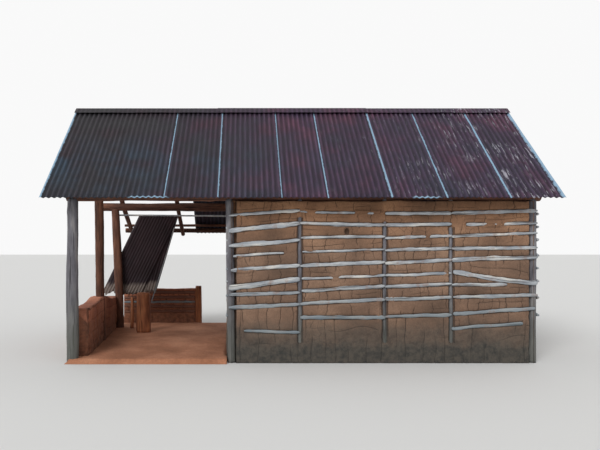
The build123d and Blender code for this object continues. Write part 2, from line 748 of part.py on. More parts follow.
os.makedirs("parts", exist_ok=True)
for name, solids in pieces.items():
    shape = solids[0] if len(solids) == 1 else Compound(children=list(solids))
    export_step(shape, f"parts/{name}.step")
print(len(pieces), "nodes")
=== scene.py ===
import bpy
import math
import numpy as np
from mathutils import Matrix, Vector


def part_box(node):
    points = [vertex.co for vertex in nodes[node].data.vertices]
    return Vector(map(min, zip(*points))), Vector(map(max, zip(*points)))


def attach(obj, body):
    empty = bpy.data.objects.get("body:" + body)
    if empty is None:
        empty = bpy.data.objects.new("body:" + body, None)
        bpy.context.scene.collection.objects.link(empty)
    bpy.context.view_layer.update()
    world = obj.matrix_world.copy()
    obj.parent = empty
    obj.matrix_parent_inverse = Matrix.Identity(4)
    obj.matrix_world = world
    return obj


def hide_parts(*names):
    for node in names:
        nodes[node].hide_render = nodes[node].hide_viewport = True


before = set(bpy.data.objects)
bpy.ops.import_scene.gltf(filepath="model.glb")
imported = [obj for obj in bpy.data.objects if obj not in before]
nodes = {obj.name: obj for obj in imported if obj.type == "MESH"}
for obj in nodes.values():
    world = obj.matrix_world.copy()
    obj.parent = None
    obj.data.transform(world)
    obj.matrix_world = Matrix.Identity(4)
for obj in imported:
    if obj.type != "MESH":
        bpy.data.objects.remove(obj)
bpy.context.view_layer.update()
body = "root"
fullTurn = 2 * math.pi
roofSlope = math.radians(40.8)
wavePitch = 0.076  # from wave to wave of the roof's sheets

# Shared helpers


def tone(red, green, blue):
    # a screen colour from 0 to 255 turned into Blender's linear colour
    linear = [((v / 255 + 0.055) / 1.055) ** 2.4 if v > 10 else v / 255 / 12.92 for v in (red, green, blue)]
    return (*linear, 1.0)


def lumps(x, y, z, size, seed, octaves=3):
    # smooth noise from -1 to 1 in the shape of x: a sum of sine waves of random directions, each octave
    # half as long and half as high
    draw = np.random.default_rng(seed)
    points = np.stack([np.broadcast_to(v, np.shape(x)).ravel() for v in (x, y, z)], 1)
    total = np.zeros(len(points))
    for octave in range(octaves):
        ways = draw.normal(size=(6, 3))
        ways /= np.linalg.norm(ways, axis=1)[:, None]
        shifts = draw.uniform(0, fullTurn, 6)
        waves = np.sin(points @ ways.T * (fullTurn * 2 ** octave / size) + shifts)
        total += waves.mean(1) * 1.6 / 2 ** octave
    return (total / 1.6).reshape(np.shape(x))


def smooth(low, high, values):
    # 0 below low, 1 above high, an even S between them
    share = np.clip((values - low) / (high - low), 0, 1)
    return share * share * (3 - 2 * share)


def gridFaces(rows, columns, closed=False):
    # quads of a grid of points stored row by row; closed joins the last column to the first
    across = columns if closed else columns - 1
    row, column = np.meshgrid(np.arange(rows - 1), np.arange(across), indexing="ij")
    here, beside = row * columns + column, row * columns + (column + 1) % columns
    return np.stack([here, beside, beside + columns, here + columns], -1).reshape(-1, 4)


def plate(upper, drop, marks):
    # A thin plate: a grid of points, the same grid again lower by drop, and a rim round both. Both grids
    # carry the same marks.
    rows, columns = upper.shape[:2]
    count = rows * columns
    top, grid = gridFaces(rows, columns), np.arange(count).reshape(rows, columns)
    rims = []
    for border, flip in ((grid[0], True), (grid[-1], False), (grid[:, 0], False), (grid[:, -1], True)):
        rim = np.stack([border[:-1], border[1:], border[1:] + count, border[:-1] + count], -1)
        rims.append(rim[:, [1, 0, 3, 2]] if flip else rim)
    marks = {key: np.tile(values.reshape(-1, 3), (2, 1)) for key, values in marks.items()}
    points = np.stack([upper, upper - drop]).reshape(-1, 3)
    return points, np.concatenate([top, top[:, ::-1] + count, *rims]), marks


def tubeGrid(along, sides):
    # the place along a tube and the angle round it, one row for each ring
    return np.meshgrid(along, np.linspace(0, fullTurn, sides, endpoint=False), indexing="ij")


def ringFaces(rows, columns, inwards):
    # quads of a closed tube of rings, and one face over each end
    ring = np.arange(columns)
    faces = [gridFaces(rows, columns, closed=True), np.stack([ring[::-1], (rows - 1) * columns + ring])]
    return [some[:, ::-1] for some in faces] if inwards else faces


def newObject(name, data):
    thing = bpy.data.objects.new(name, data)
    bpy.context.scene.collection.objects.link(thing)
    return thing


def newPiece(name, nodeName, finish, slotName, parts):
    # One object at the origin, made of parts of (points, arrays of faces, marks kept for each point). It
    # rides with the house and is seen in place of its node.
    faces, first = [], 0
    for points, groups, _ in parts:
        for group in groups:
            faces += (group + first).tolist()
        first += len(points)
    mesh = bpy.data.meshes.new(name)
    mesh.from_pydata(np.concatenate([part[0] for part in parts]).tolist(), [], faces)
    for key in parts[0][2]:
        values = np.concatenate([part[2][key] for part in parts]).astype(np.float32)
        kind, field = ("FLOAT", "value") if values.ndim == 1 else ("FLOAT_VECTOR", "vector")
        mesh.attributes.new(key, kind, "POINT").data.foreach_set(field, values.ravel())
    mesh.validate()
    mesh.polygons.foreach_set("use_smooth", [True] * len(mesh.polygons))
    mesh.materials.append(finish)
    piece = newObject(name, mesh)
    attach(piece, body)
    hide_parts(nodeName)


def solidsOf(nodeName):
    # the separate solids of a node, each as an array of its own corners, found by joining triangles that
    # share one
    mesh = nodes[nodeName].data
    points = np.empty(len(mesh.vertices) * 3)
    mesh.vertices.foreach_get("co", points)
    corners = np.empty(len(mesh.loops), dtype=int)
    mesh.loops.foreach_get("vertex_index", corners)
    own, welded = np.unique(points.reshape(-1, 3).round(5), axis=0, return_inverse=True)
    triangles = welded.ravel()[corners].reshape(-1, 3)
    label = np.arange(len(own))
    while True:
        before = label.copy()
        np.minimum.at(label, triangles.ravel(), np.repeat(label[triangles].min(1), 3))
        label = label[label]
        if (label == before).all():
            break
    return [own[label == k] for k in np.unique(label)]


def fromLeft(nodeName):
    return sorted(solidsOf(nodeName), key=lambda corners: corners[:, 0].min())


def ringsOf(along, gap):
    # the corners of a stick sorted into its rings, which lie more than gap apart along it
    order = np.argsort(along)
    return np.split(order, np.nonzero(np.diff(along[order]) > gap)[0] + 1)


def squareTo(way):
    # two directions square to a way and to each other, the first of them level
    side = np.cross(way, (0, 1, 0) if abs(way[2]) > 0.9 else (0, 0, 1))
    side /= np.linalg.norm(side)
    return side, np.cross(side, way)


def spineOf(points):
    # middles and radii of a pole's rings of corners, from its low end (or left, or front) to the other
    centre = points.mean(0)
    axis = np.linalg.svd(points - centre, full_matrices=False)[2][0]
    axis *= np.sign(axis[np.abs(axis).argmax()])
    side, rise = squareTo(axis)
    along, across, up = (points - centre) @ axis, (points - centre) @ side, (points - centre) @ rise
    rings = ringsOf(along, 0.12)
    middles, radii = [], []
    for k, ring in enumerate(rings):
        at = along[ring].min() if k == 0 else along[ring].max() if k == len(rings) - 1 else along[ring].mean()
        radius = np.ptp(across[ring]) / 2
        lift = up[ring].max() - radius if abs(rise[2]) > 0.5 else (up[ring].max() + up[ring].min()) / 2
        shift = (across[ring].max() + across[ring].min()) / 2
        middles.append(centre + axis * at + side * shift + rise * lift)
        radii.append(radius)
    return np.array(middles), np.array(radii)


def feetOf(nodeName):
    # the low ends of a node's poles
    return [spineOf(solid)[0][0] for solid in solidsOf(nodeName)]


# Node helpers, which add to a tree: most of them to the tree of the outputs they are given


def add(tree, kind, sockets=None, **settings):
    # a socket's value is a number, a colour or another node's output
    node = tree.nodes.new("ShaderNode" + kind)
    for key, value in settings.items():
        setattr(node, key, value)
    for key, value in (sockets or {}).items():
        if isinstance(value, bpy.types.NodeSocket):
            tree.links.new(value, node.inputs[key])
        else:
            node.inputs[key].default_value = value
    return node


def maths(operation, a, b=0.0):
    tree = (a if isinstance(a, bpy.types.NodeSocket) else b).id_data
    return add(tree, "Math", {0: a, 1: b}, operation=operation).outputs["Value"]


def plus(a, b):
    return maths("ADD", a, b)


def minus(a, b):
    return maths("SUBTRACT", a, b)


def times(a, b):
    return maths("MULTIPLY", a, b)


def larger(a, b):
    return maths("MAXIMUM", a, b)


def distance(a, b):
    return maths("ABSOLUTE", minus(a, b))


def spread(value, low, high, least=0.0, most=1.0):
    # the stretch from low to high taken to the one from least to most
    sockets = {"Value": value, "From Min": low, "From Max": high, "To Min": least, "To Max": most}
    return add(value.id_data, "MapRange", sockets).outputs["Result"]


def near(value, inner, outer):
    # 1 where the value is under inner, 0 beyond outer
    sockets = {"Value": value, "From Min": inner, "From Max": outer, "To Min": 1.0, "To Max": 0.0}
    return add(value.id_data, "MapRange", sockets, interpolation_type="SMOOTHSTEP").outputs["Result"]


def ramp(factor, stops, ease="LINEAR"):
    # stops are places with a colour, or with a number for a grey
    node = add(factor.id_data, "ValToRGB", {"Fac": factor})
    node.color_ramp.interpolation = ease
    band = node.color_ramp.elements
    while len(band) < len(stops):
        band.new(0.5)
    for element, (at, colour) in zip(band, stops):
        element.position = at
        element.color = colour if isinstance(colour, tuple) else (colour, colour, colour, 1)
    return node.outputs["Color"]


def threeTones(factor, look, places):
    return ramp(factor, list(zip(places, (look["dark"], look["middle"], look["light"]))))


def blend(factor, under, over, kind="MIX"):
    sockets = {"Fac": factor, "Color1": under, "Color2": over}
    return add(under.id_data, "MixRGB", sockets, blend_type=kind).outputs["Color"]


def shaded(colour, factor, stops):
    return blend(1.0, colour, ramp(factor, stops), "MULTIPLY")


def noise(where, scale, detail=4.0, rough=0.55):
    sockets = {"Vector": where, "Scale": scale, "Detail": detail, "Roughness": rough}
    return add(where.id_data, "TexNoise", sockets).outputs["Fac"]


def wobble(where, scale, detail, rough, size):
    # noise about zero, size from its lowest to its highest
    return times(minus(noise(where, scale, detail, rough), 0.5), size)


def stretched(where, size, shift=(0, 0, 0)):
    sockets = {"Vector": where, "Scale": size, "Location": shift}
    return add(where.id_data, "Mapping", sockets).outputs["Vector"]


def mark(tree, key, output="Fac"):
    return add(tree, "Attribute", attribute_name=key, attribute_type="GEOMETRY").outputs[output]


def place(tree):
    return add(tree, "TexCoord").outputs["Object"]


def heightOf(tree):
    return add(tree, "SeparateXYZ", {"Vector": place(tree)}).outputs["Z"]


def startFinish(name, roughness, metallic=0.0):
    finish = bpy.data.materials.new(name)
    finish.use_nodes = True
    shader = finish.node_tree.nodes["Principled BSDF"]
    shader.inputs["Roughness"].default_value = roughness
    shader.inputs["Metallic"].default_value = metallic
    return finish, finish.node_tree, shader


def plug(value, shader, key):
    shader.id_data.links.new(value, shader.inputs[key])


def bumps(shader, height, depth):
    node = add(shader.id_data, "Bump", {"Height": height, "Distance": depth, "Strength": 1.0})
    plug(node.outputs["Normal"], shader, "Normal")


# Materials


def daubFinish(name, look):
    # mud between laths: patches, grain, clods of their own tone, cracks where the marks cross zero, painted
    # shade along the rims of laths, uprights and holes, a warmer painted tone of the eave's shade near the
    # top, and a darker foot that is damp staining deepened with painted shade
    finish, tree, shader = startFinish(name, 0.93)
    where, height = place(tree), heightOf(tree)
    grain = noise(where, 48, 6, 0.72)
    colour = threeTones(noise(where, 1.7, 5), look, (0.3, 0.5, 0.68))
    colour = shaded(colour, spread(mark(tree, "block"), -1.0, 1.0), [(0.0, 0.88), (1.0, 1.1)])
    # painted light: a warmer tone near the top, standing in for the colour of the light in the eave's shade
    eaveShadeTint = (1.3, 1.1, 0.88, 1)  # under the eave
    colour = shaded(colour, times(height, 0.4), [(0.6, 1), (0.86, eaveShadeTint)])
    colour = shaded(colour, grain, [(0.3, 0.74), (0.7, 1.2)])
    ragged = wobble(where, 22, 4, 0.7, 0.012)
    wide = look["crackWidth"]
    seam = near(maths("ABSOLUTE", plus(mark(tree, "seam"), ragged)), 0.0006 * wide, 0.004 * wide)
    level = near(maths("ABSOLUTE", plus(mark(tree, "level"), ragged)), 0.0005 * wide, 0.0034 * wide)
    # rim: painted shade, the dark line where laths, uprights and holes shadow the daub beside them; it joins
    # the crack mask and takes the crack tone
    rim = near(plus(mark(tree, "rim"), ragged), 0.003, 0.012)
    crack = larger(times(seam, mark(tree, "seamOpen")), times(level, mark(tree, "levelOpen")))
    crack = larger(crack, times(rim, 0.8))
    sockets = {"Vector": stretched(where, (8, 8, 8)), "Scale": 1.0, "Randomness": 1.0}
    cells = add(tree, "TexVoronoi", sockets, feature="DISTANCE_TO_EDGE").outputs["Distance"]
    cells = near(plus(cells, times(ragged, 3.0)), 0.006, 0.022)
    colour = blend(times(cells, ramp(noise(where, 2.3), [(0.5, 0), (0.64, 0.6)])), colour, look["crack"])
    colour = blend(times(crack, 0.85), colour, look["crack"])
    # darker and greyer towards the ground: damp staining, deepened with painted shade along the foot
    foot = plus(height, times(noise(where, 5, 6, 0.7), -0.35))
    mottle = ramp(noise(where, 16, 5, 0.7), [(0.35, look["foot"]), (0.6, look["footLight"])])
    colour = blend(ramp(foot, [(0.0, 0.97), (0.2, 0.68), (0.52, 0)], "EASE"), colour, mottle)
    plug(colour, shader, "Base Color")
    bumps(shader, minus(times(grain, 0.6), times(crack, 1.4)), 0.005)
    return finish


def woodFinish(name, look):
    # weathered wood: the grain runs along the piece, from the place on the straight stick kept in the mark
    # "grain"
    finish, tree, shader = startFinish(name, look["rough"])
    where = mark(tree, "grain", "Vector")
    streaks = noise(stretched(where, (1, 1, 0.05)), look["fine"], 5, 0.65)
    broad = noise(stretched(where, (1, 1, 0.25)), 9, 4)
    colour = threeTones(broad, look, (0.32, 0.52, 0.7))
    colour = shaded(colour, streaks, [(0.3, 0.6), (0.68, 1.3)])
    split = ramp(noise(stretched(where, (1, 1, 0.03), (3, 1, 2)), 45, 2, 0.5), [(0.335, 1), (0.375, 0)])
    colour = blend(times(split, 0.75), colour, look["split"])
    if "foot" in look:
        foot = plus(heightOf(tree), times(broad, -0.7))
        colour = blend(ramp(foot, [(0.0, 0.7), (look["footHeight"], 0)]), colour, look["foot"])
    if "low" in look:  # greyer towards the ground
        low = plus(heightOf(tree), times(broad, -0.5))
        colour = blend(ramp(low, [(0.35, 0.75), (0.95, 0)]), colour, look["low"])
        colour = blend(mark(tree, "coat"), colour, look["coat"])
        smear = ramp(noise(place(tree), 7, 5, 0.7), [(0.54, 0), (0.66, look["mudMost"])])
        colour = blend(smear, colour, look["mud"])
    plug(colour, shader, "Base Color")
    bumps(shader, minus(streaks, split), look["relief"])
    return finish


def sheetFinish(name, look):
    # rusted sheet iron: rust patches, run-down streaks, a bluish worn band, pale edges from the mark "sheet"
    # that are bare metal with a painted sky-blue glint
    finish, tree, shader = startFinish(name, 0.55, 0.25)
    shader.inputs["Specular IOR Level"].default_value = 0.28  # weathered paint and rust shine little
    where, flow = place(tree), mark(tree, "flow", "Vector")
    edge, down, own = add(tree, "SeparateXYZ", {"Vector": mark(tree, "sheet", "Vector")}).outputs
    across = add(tree, "SeparateXYZ", {"Vector": where}).outputs["X"]
    isRoof = "left" in look
    runs = noise(stretched(flow, (1, 0.07, 1)), 34, 5, 0.7)
    patches = noise(where, 1.5, 5, 0.6)
    colour = threeTones(patches, look, (0.32, 0.5, 0.68))
    band = shaded(ramp(down, look["bandAt"]), noise(where, 2.2, 4), [(0.4, 0.1), (0.62, 0.9)])
    if isRoof:  # greyer towards the left end, and there the band shows most
        right = spread(plus(across, times(noise(where, 0.9), 2.0)), -1.4, 1.2)
        colour = blend(right, blend(0.75, colour, look["left"]), colour)
        band = times(band, minus(1.0, times(right, 0.75)))
    colour = blend(band, colour, look["band"])
    colour = shaded(colour, runs, [(0.28, 0.62), (0.7, 1.4)])
    colour = shaded(colour, own, [(0.0, 0.86), (1.0, 1.14)])
    scuffs = noise(stretched(flow, (1, 0.10, 1), (5, 2, 0)), 30, 4, 0.7)
    if isRoof:  # painted light on the ridges and painted shade in the furrows, with some dirt in the furrows, in step with the waves: cos(2 pi x / pitch)
        ridge = plus(times(maths("COSINE", times(across, fullTurn / wavePitch)), 0.5), 0.5)
        colour = shaded(colour, ridge, [(0.0, 0.62), (0.6, 1.0), (1.0, 1.5)])
        worn = spread(across, 0.2, 3.0, 0.0, 1.5)
        scuffs = plus(scuffs, times(worn, 0.025))
    scuff = ramp(scuffs, [(look["scuffFrom"], 0), (look["scuffFrom"] + 0.06, 0.66)])
    scuff = times(scuff, ramp(noise(where, 2.1, 3), [(0.42, 0), (0.58, 1)]))
    colour = blend(times(scuff, worn) if isRoof else scuff, colour, look["scuff"])
    rag = wobble(where, 11, 5, 0.75, 0.034)
    pale = near(plus(edge, rag), 0.012, 0.022)
    for middle, half in look.get("eaves", ()):  # paler stretches of the lower edge
        stretch = near(distance(across, middle), half, half + 0.1)
        low = near(plus(minus(1.0, down), times(rag, 0.8)), 0.006, 0.016)
        pale = larger(pale, times(stretch, low))
    # the pale tone: bare edges with a painted glint
    colour = blend(times(pale, look["paleMost"]), colour, look["pale"])
    if "foot" in look:
        low = plus(down, times(runs, 0.16))
        colour = blend(ramp(low, [(0.93, 0), (0.975, 0.85)]), colour, look["foot"])
    plug(colour, shader, "Base Color")
    plug(ramp(patches, [(0.3, 0.5), (0.7, 0.72)]), shader, "Roughness")
    bumps(shader, noise(where, 70, 4, 0.7), 0.0012)
    return finish


def earthFinish(name, look):
    finish, tree, shader = startFinish(name, 0.95)
    where = place(tree)
    grit = noise(where, 42, 6, 0.75)
    colour = threeTones(noise(where, 1.3, 6, 0.6), look, (0.34, 0.5, 0.66))
    plug(shaded(colour, grit, [(0.3, 0.7), (0.7, 1.2)]), shader, "Base Color")
    bumps(shader, grit, 0.006)
    return finish


daubLook = {"dark": tone(98, 77, 63), "middle": tone(124, 97, 79), "light": tone(144, 115, 94),
            "crack": tone(44, 31, 24), "crackWidth": 1,
            "foot": tone(50, 51, 49), "footLight": tone(80, 75, 68)}
mudLook = {"dark": tone(142, 84, 64), "middle": tone(172, 108, 82), "light": tone(192, 128, 100),
           "crack": tone(62, 36, 24), "crackWidth": 2.4,
           "foot": tone(96, 62, 46), "footLight": tone(140, 92, 68)}
lathLook = {"dark": tone(130, 137, 146), "middle": tone(180, 184, 188), "light": tone(226, 222, 214),
            "split": tone(58, 54, 54), "mud": tone(146, 108, 84), "mudMost": 0.45, "coat": tone(118, 72, 50),
            "low": tone(104, 116, 122), "rough": 0.8, "relief": 0.003, "fine": 150}
greyLook = {"dark": tone(88, 86, 92), "middle": tone(118, 116, 122), "light": tone(150, 146, 146),
            "split": tone(44, 40, 42), "foot": tone(86, 88, 78), "footHeight": 0.8,
            "rough": 0.85, "relief": 0.004, "fine": 110}
brownLook = {"dark": tone(66, 39, 28), "middle": tone(100, 63, 46), "light": tone(130, 87, 66),
             "split": tone(30, 16, 12), "rough": 0.85, "relief": 0.003, "fine": 120}
logLook = {"dark": tone(112, 64, 42), "middle": tone(148, 90, 58), "light": tone(174, 114, 76),
           "split": tone(52, 28, 18), "rough": 0.85, "relief": 0.004, "fine": 90}
roofLook = {"dark": tone(41, 37, 52), "middle": tone(57, 42, 60), "light": tone(80, 52, 67),
            "left": tone(38, 37, 37), "band": tone(44, 60, 74), "bandAt": [(0.3, 0), (0.62, 0.9), (1, 0.55)],
            "scuff": tone(158, 156, 166), "scuffFrom": 0.59, "eaves": [(-2.06, 0.2), (1.66, 0.12)],
            "pale": tone(146, 178, 202), "paleMost": 0.9}
screenLook = {"dark": tone(40, 30, 33), "middle": tone(54, 40, 44), "light": tone(74, 54, 58),
              "band": tone(48, 46, 52), "bandAt": [(0.2, 0), (0.6, 0.4), (1, 0.5)],
              "scuff": tone(120, 112, 112), "scuffFrom": 0.72, "pale": tone(130, 126, 130), "paleMost": 0.6,
              "foot": tone(132, 121, 114)}
floorLook = {"dark": tone(144, 94, 66), "middle": tone(172, 116, 86), "light": tone(194, 138, 106)}
daub, lowMud = daubFinish("crackedDaub", daubLook), daubFinish("redMud", mudLook)
lathWood, greyWood = woodFinish("silverLath", lathLook), woodFinish("greyPost", greyLook)
brownWood, logWood = woodFinish("brownPole", brownLook), woodFinish("barkedLog", logLook)
roofIron, screenIron = sheetFinish("rustedRoof", roofLook), sheetFinish("sootySheet", screenLook)
earth = earthFinish("troddenEarth", floorLook)
print("materials made")

# Poles and posts


def poleMesh(middles, radii, look, seed):
    # a circle carried along the spine: its radius swells by slow waves, knots and long splits, and the path
    # wanders
    draw = np.random.default_rng(seed)
    lengths = np.concatenate([[0], np.cumsum(np.linalg.norm(np.diff(middles, axis=0), axis=1))])
    total, sides = lengths[-1], look["sides"]
    rows = max(6, int(total / look["step"]))
    along = np.linspace(0, total, rows)
    path = np.stack([np.interp(along, lengths, middles[:, k]) for k in range(3)], 1)
    if len(middles) > 2:  # a crooked pole bends evenly: each point moves to the mean of its near stretch
        reach = max(1, rows // 8)
        padded = np.pad(path, ((reach, reach), (0, 0)), mode="reflect", reflect_type="odd")
        weights = np.ones(2 * reach + 1) / (2 * reach + 1)
        path = np.stack([np.convolve(padded[:, k], weights, "valid") for k in range(3)], 1)
    radius = np.interp(along, lengths, radii)
    way = path[-1] - path[0]
    side, rise = squareTo(way / np.linalg.norm(way))
    share = along / total
    held = np.sin(math.pi * share) ** 0.5  # the ends stay in place
    for cross, extra in ((side, 0), (rise, 7)):
        sway = lumps(along, 0, 0, look["wander"], seed + extra, 2) * radius * look["crook"] * held
        path = path + cross * sway[:, None]
    s, a = tubeGrid(along, sides)
    # a round section, or a squared one: 1 / (|cos|^p + |sin|^p)^(1/p)
    power = look.get("square", 2)
    r = radius[:, None] / (np.abs(np.cos(a)) ** power + np.abs(np.sin(a)) ** power) ** (1 / power)
    x, y = np.cos(a) * r, np.sin(a) * r
    swell = 1 + look["rough"] * lumps(x, y, s * 0.4, radius.mean() * 2.4, seed + 3)
    for height, turns, twist in ((0.05, 2, 3), (0.03, 3, -2)):
        swell += height * np.sin(turns * a + twist * s + draw.uniform(0, 6))
    for _ in range(int(total * look["knots"])):
        at, facing = draw.uniform(0, total), draw.uniform(0, fullTurn)
        apart = (s - at) ** 2 / radius.mean() ** 2 + (2 - 2 * np.cos(a - facing)) * 1.2
        swell += draw.uniform(0.08, 0.2) * np.exp(-apart * 2.2)
    for _ in range(look["splits"]):
        facing = draw.uniform(0, fullTurn) + 0.25 * np.sin(s * 3 + draw.uniform(0, 6))
        gape = 0.4 + 0.6 * np.sin(s * 2.3 + draw.uniform(0, 6)) ** 2
        swell -= 0.07 * np.exp(-(2 - 2 * np.cos(a - facing)) / 0.02) * gape
    swell *= 1 - 0.05 * (np.exp(-s / 0.012) + np.exp(-(total - s) / 0.012))  # blunted ends
    points = path[:, None] + side * (x * swell)[..., None] + rise * (y * swell)[..., None]
    points = np.concatenate([points.reshape(-1, 3), path[[0, -1]]])
    grain = np.stack([x, y, s + seed * 1.7], -1).reshape(-1, 3)
    grain = np.concatenate([grain, [[0, 0, seed * 1.7], [0, 0, seed * 1.7 + total]]])
    # each end is a fan round a point in its middle
    here, count = np.arange(sides), rows * sides
    after, last = (here + 1) % sides, count - sides
    startFan = np.stack([here, after, here * 0 + count], 1)
    endFan = np.stack([last + after, last + here, here * 0 + count + 1], 1)
    fans = np.stack([startFan, endFan], 1).reshape(-1, 3)
    return points, [gridFaces(rows, sides, closed=True)[:, ::-1], fans], {"grain": grain}


def leaning(middles, lean):
    # the front left corner post of the room leans to the left as it rises
    x, y = middles[:, 0].mean(), middles[:, 1].mean()
    isFrontLeft = (abs(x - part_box("front_wall")[0].x - lean["inset"]) < 0.1) & (y < 0)
    middles[:, 0] -= isFrontLeft * lean["top"] * middles[:, 2] / lean["height"]
    return middles


def poles(name, nodeName, wood, look, seed):
    # every solid of a node as rough round timber
    parts = []
    for k, solid in enumerate(solidsOf(nodeName)):
        middles, radii = spineOf(solid)
        if "lean" in look:
            middles = leaning(middles, look["lean"])
        parts.append(poleMesh(middles, radii, look, seed + 11 * k))
        heights = parts[-1][0][:, 2]
        np.maximum(heights, 0, out=heights)  # a leaning post is cut level at the ground
    newPiece(name, nodeName, *wood, parts)


poleLook = {"step": 0.05, "sides": 14, "wander": 0.9, "crook": 0.10,
            "rough": 0.05, "knots": 0.8, "splits": 1}
postLook = {"step": 0.035, "sides": 26, "wander": 1.3, "crook": 0.07,
            "rough": 0.05, "knots": 1.6, "splits": 4}
cornerLook = {**postLook, "lean": {"inset": 0.067, "top": 0.035, "height": 2.3}}
stickLook = {"step": 0.05, "sides": 12, "wander": 0.7, "crook": 0.14,
             "rough": 0.06, "knots": 1.0, "splits": 1}
studLook = {"step": 0.04, "sides": 14, "wander": 1.1, "crook": 0.22,
            "rough": 0.10, "knots": 1.5, "splits": 2}
stoutLook = {"step": 0.03, "sides": 34, "wander": 0.6, "crook": 0.02,
             "rough": 0.05, "knots": 2.5, "splits": 6, "square": 2.6}
squaredLook = {"step": 0.03, "sides": 36, "wander": 0.5, "crook": 0.03,
               "rough": 0.04, "knots": 1, "splits": 3, "square": 7}
grey, brown = (greyWood, "grey_timber"), (brownWood, "brown_timber")
pale, barked = (lathWood, "lath_wood"), (logWood, "brown_timber")
timber = [("cornerPostFront", "porch_corner_post", grey, postLook),
          ("ridgePostPorch", "porch_ridge_post", brown, postLook),
          ("cornerPostRear", "porch_rear_post", brown, postLook),
          ("roomCornerPosts", "room_corner_posts", grey, cornerLook),
          ("wallStuds", "wall_studs", grey, studLook),
          ("roomRidgePosts", "room_ridge_posts", brown, poleLook),
          ("doorJamb", "door_jamb", brown, poleLook),
          ("doorLintel", "door_lintel", brown, poleLook),
          ("frontPlate", "front_plate", brown, poleLook),
          ("rearPlate", "rear_plate", brown, poleLook),
          ("ties", "gable_ties", brown, poleLook),
          ("ridgePole", "ridge_pole", brown, poleLook),
          ("frontRafters", "front_rafters", brown, poleLook),
          ("rearRafters", "rear_rafters", brown, poleLook),
          ("frontPurlins", "front_purlins", brown, poleLook),
          ("rearPurlins", "rear_purlins", brown, poleLook),
          ("rearEavePoles", "rear_eave_poles", brown, poleLook),
          ("rearRail", "rear_rail", pale, stickLook),
          ("screenStick", "screen_stick", pale, stickLook),
          ("hearthLog", "hearth_log", barked, stoutLook),
          ("hearthProp", "hearth_prop", barked, stickLook),
          ("lowWallEndPost", "low_wall_end_post", barked, squaredLook)]
for k, (name, nodeName, wood, look) in enumerate(timber):
    poles(name, nodeName, wood, look, 101 + 2 * k)
print("poles and posts made")

# Laths


def lathMesh(solid, outward, look, seed, stops):
    # a flat oval carried along the lath's line: its width and thickness vary, its ends break off ragged
    draw = np.random.default_rng(seed)
    way = np.array((0, 1, 0)) if abs(outward[0]) > 0.5 else np.array((1, 0, 0))
    along = solid @ way
    rings = ringsOf(along, 0.05)
    middles = np.array([solid[ring].mean(0) for ring in rings])
    half = np.ptp(solid[rings[0], 2]) / 2
    start, end = along.min(), along.max()
    nearest, farthest = look["runOn"]
    for stop in stops:
        start = stop if nearest < start - stop < farthest else start
        end = stop if nearest < stop - end < farthest else end
    rows = max(8, int((end - start) / look["step"]))
    s = np.linspace(start, end, rows)
    height = np.interp(s, middles @ way, middles[:, 2]) + look["wander"] * lumps(s, seed, 0, 0.55, seed, 3)
    wide = half * 1.2 * (1 + look["uneven"] * lumps(s, seed, 0, 0.3, seed + 1, 4))
    thick = look["thick"] * (1 + 0.2 * lumps(s, seed, 0, 0.5, seed + 2, 2))
    fromEnd = np.minimum(s - start, end - s)
    wide = wide * (0.55 + 0.45 * smooth(0, draw.uniform(0.02, 0.07), fromEnd))
    sGrid, a = tubeGrid(s, look["sides"])
    ragged = 1 + 0.10 * lumps(sGrid, np.cos(a) * 0.03, np.sin(a) * 0.03 + seed, 0.12, seed + 4, 2)
    # the section: both its cosine and its sine to the power 0.75, with their signs
    deep = np.sign(np.cos(a)) * np.abs(np.cos(a)) ** 0.75 * thick[:, None] * ragged
    high = np.sign(np.sin(a)) * np.abs(np.sin(a)) ** 0.75 * wide[:, None] * ragged
    face = middles[0] @ np.abs(outward) * np.abs(outward)
    points = way * sGrid[..., None] + face + np.array(outward) * deep[..., None]
    points[..., 2] += height[:, None] + high
    grain = np.stack([deep, high, sGrid + seed * 0.37], -1).reshape(-1, 3)
    faces = ringFaces(rows, look["sides"], np.cross(way, outward)[2] < 0)
    return points.reshape(-1, 3), faces, {"grain": grain}


def laths(name, nodeName, outward, seed, coated=(), stops=()):
    # every solid of a node as a split lath; coated gives the heights between which laths are smeared with
    # mud, stops the places of uprights that a lath ending just short of them runs on to
    parts = []
    for k, solid in enumerate(solidsOf(nodeName)):
        points, faces, marks = lathMesh(solid, outward, splitLook, seed + 3 * k, stops)
        isCoated = any(low < solid[:, 2].mean() < high for low, high in coated)
        marks["coat"] = np.full(len(points), splitLook["coat"] * isCoated)
        parts.append((points, faces, marks))
    newPiece(name, nodeName, lathWood, "lath_wood", parts)


splitLook = {"step": 0.022, "sides": 12, "wander": 0.009, "uneven": 0.32, "thick": 0.014,
             "runOn": (0.04, 0.14), "coat": 0.9}
longWallFrom = 1.3  # studs farther from the middle than this stand in the front or rear wall
studs = feetOf("wall_studs")
frontStops = sorted({round(stud[0], 3) for stud in studs if stud[1] < -longWallFrom})
laths("frontLaths", "front_laths", (0, -1, 0), 201, stops=[*frontStops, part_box("front_laths")[1].x])
laths("rearLaths", "rear_laths", (0, 1, 0), 401)
laths("rightLaths", "right_laths", (1, 0, 0), 501)
laths("porchWallLaths", "porch_wall_laths", (-1, 0, 0), 601)
laths("lowWallLaths", "low_wall_laths", (0, -1, 0), 701, coated=[(0.0, 0.42), (0.5, 0.8)])
print("laths made")

# Daub walls


def lathLines(nodeName, way):
    # (start, end, height at the start, height at the end, half width, rise of the middle) of each lath of a
    # node
    lines = []
    for solid in solidsOf(nodeName):
        along = solid @ way
        low, high = solid[along < along.min() + 0.02], solid[along > along.max() - 0.02]
        bent = solid[np.abs(along - (along.min() + along.max()) / 2) < 0.05]
        ends = low[:, 2].mean(), high[:, 2].mean()
        rise = bent[:, 2].mean() - sum(ends) / 2 if len(bent) else 0.0
        lines.append((along.min(), along.max(), *ends, np.ptp(low[:, 2]) / 2, rise))
    return lines


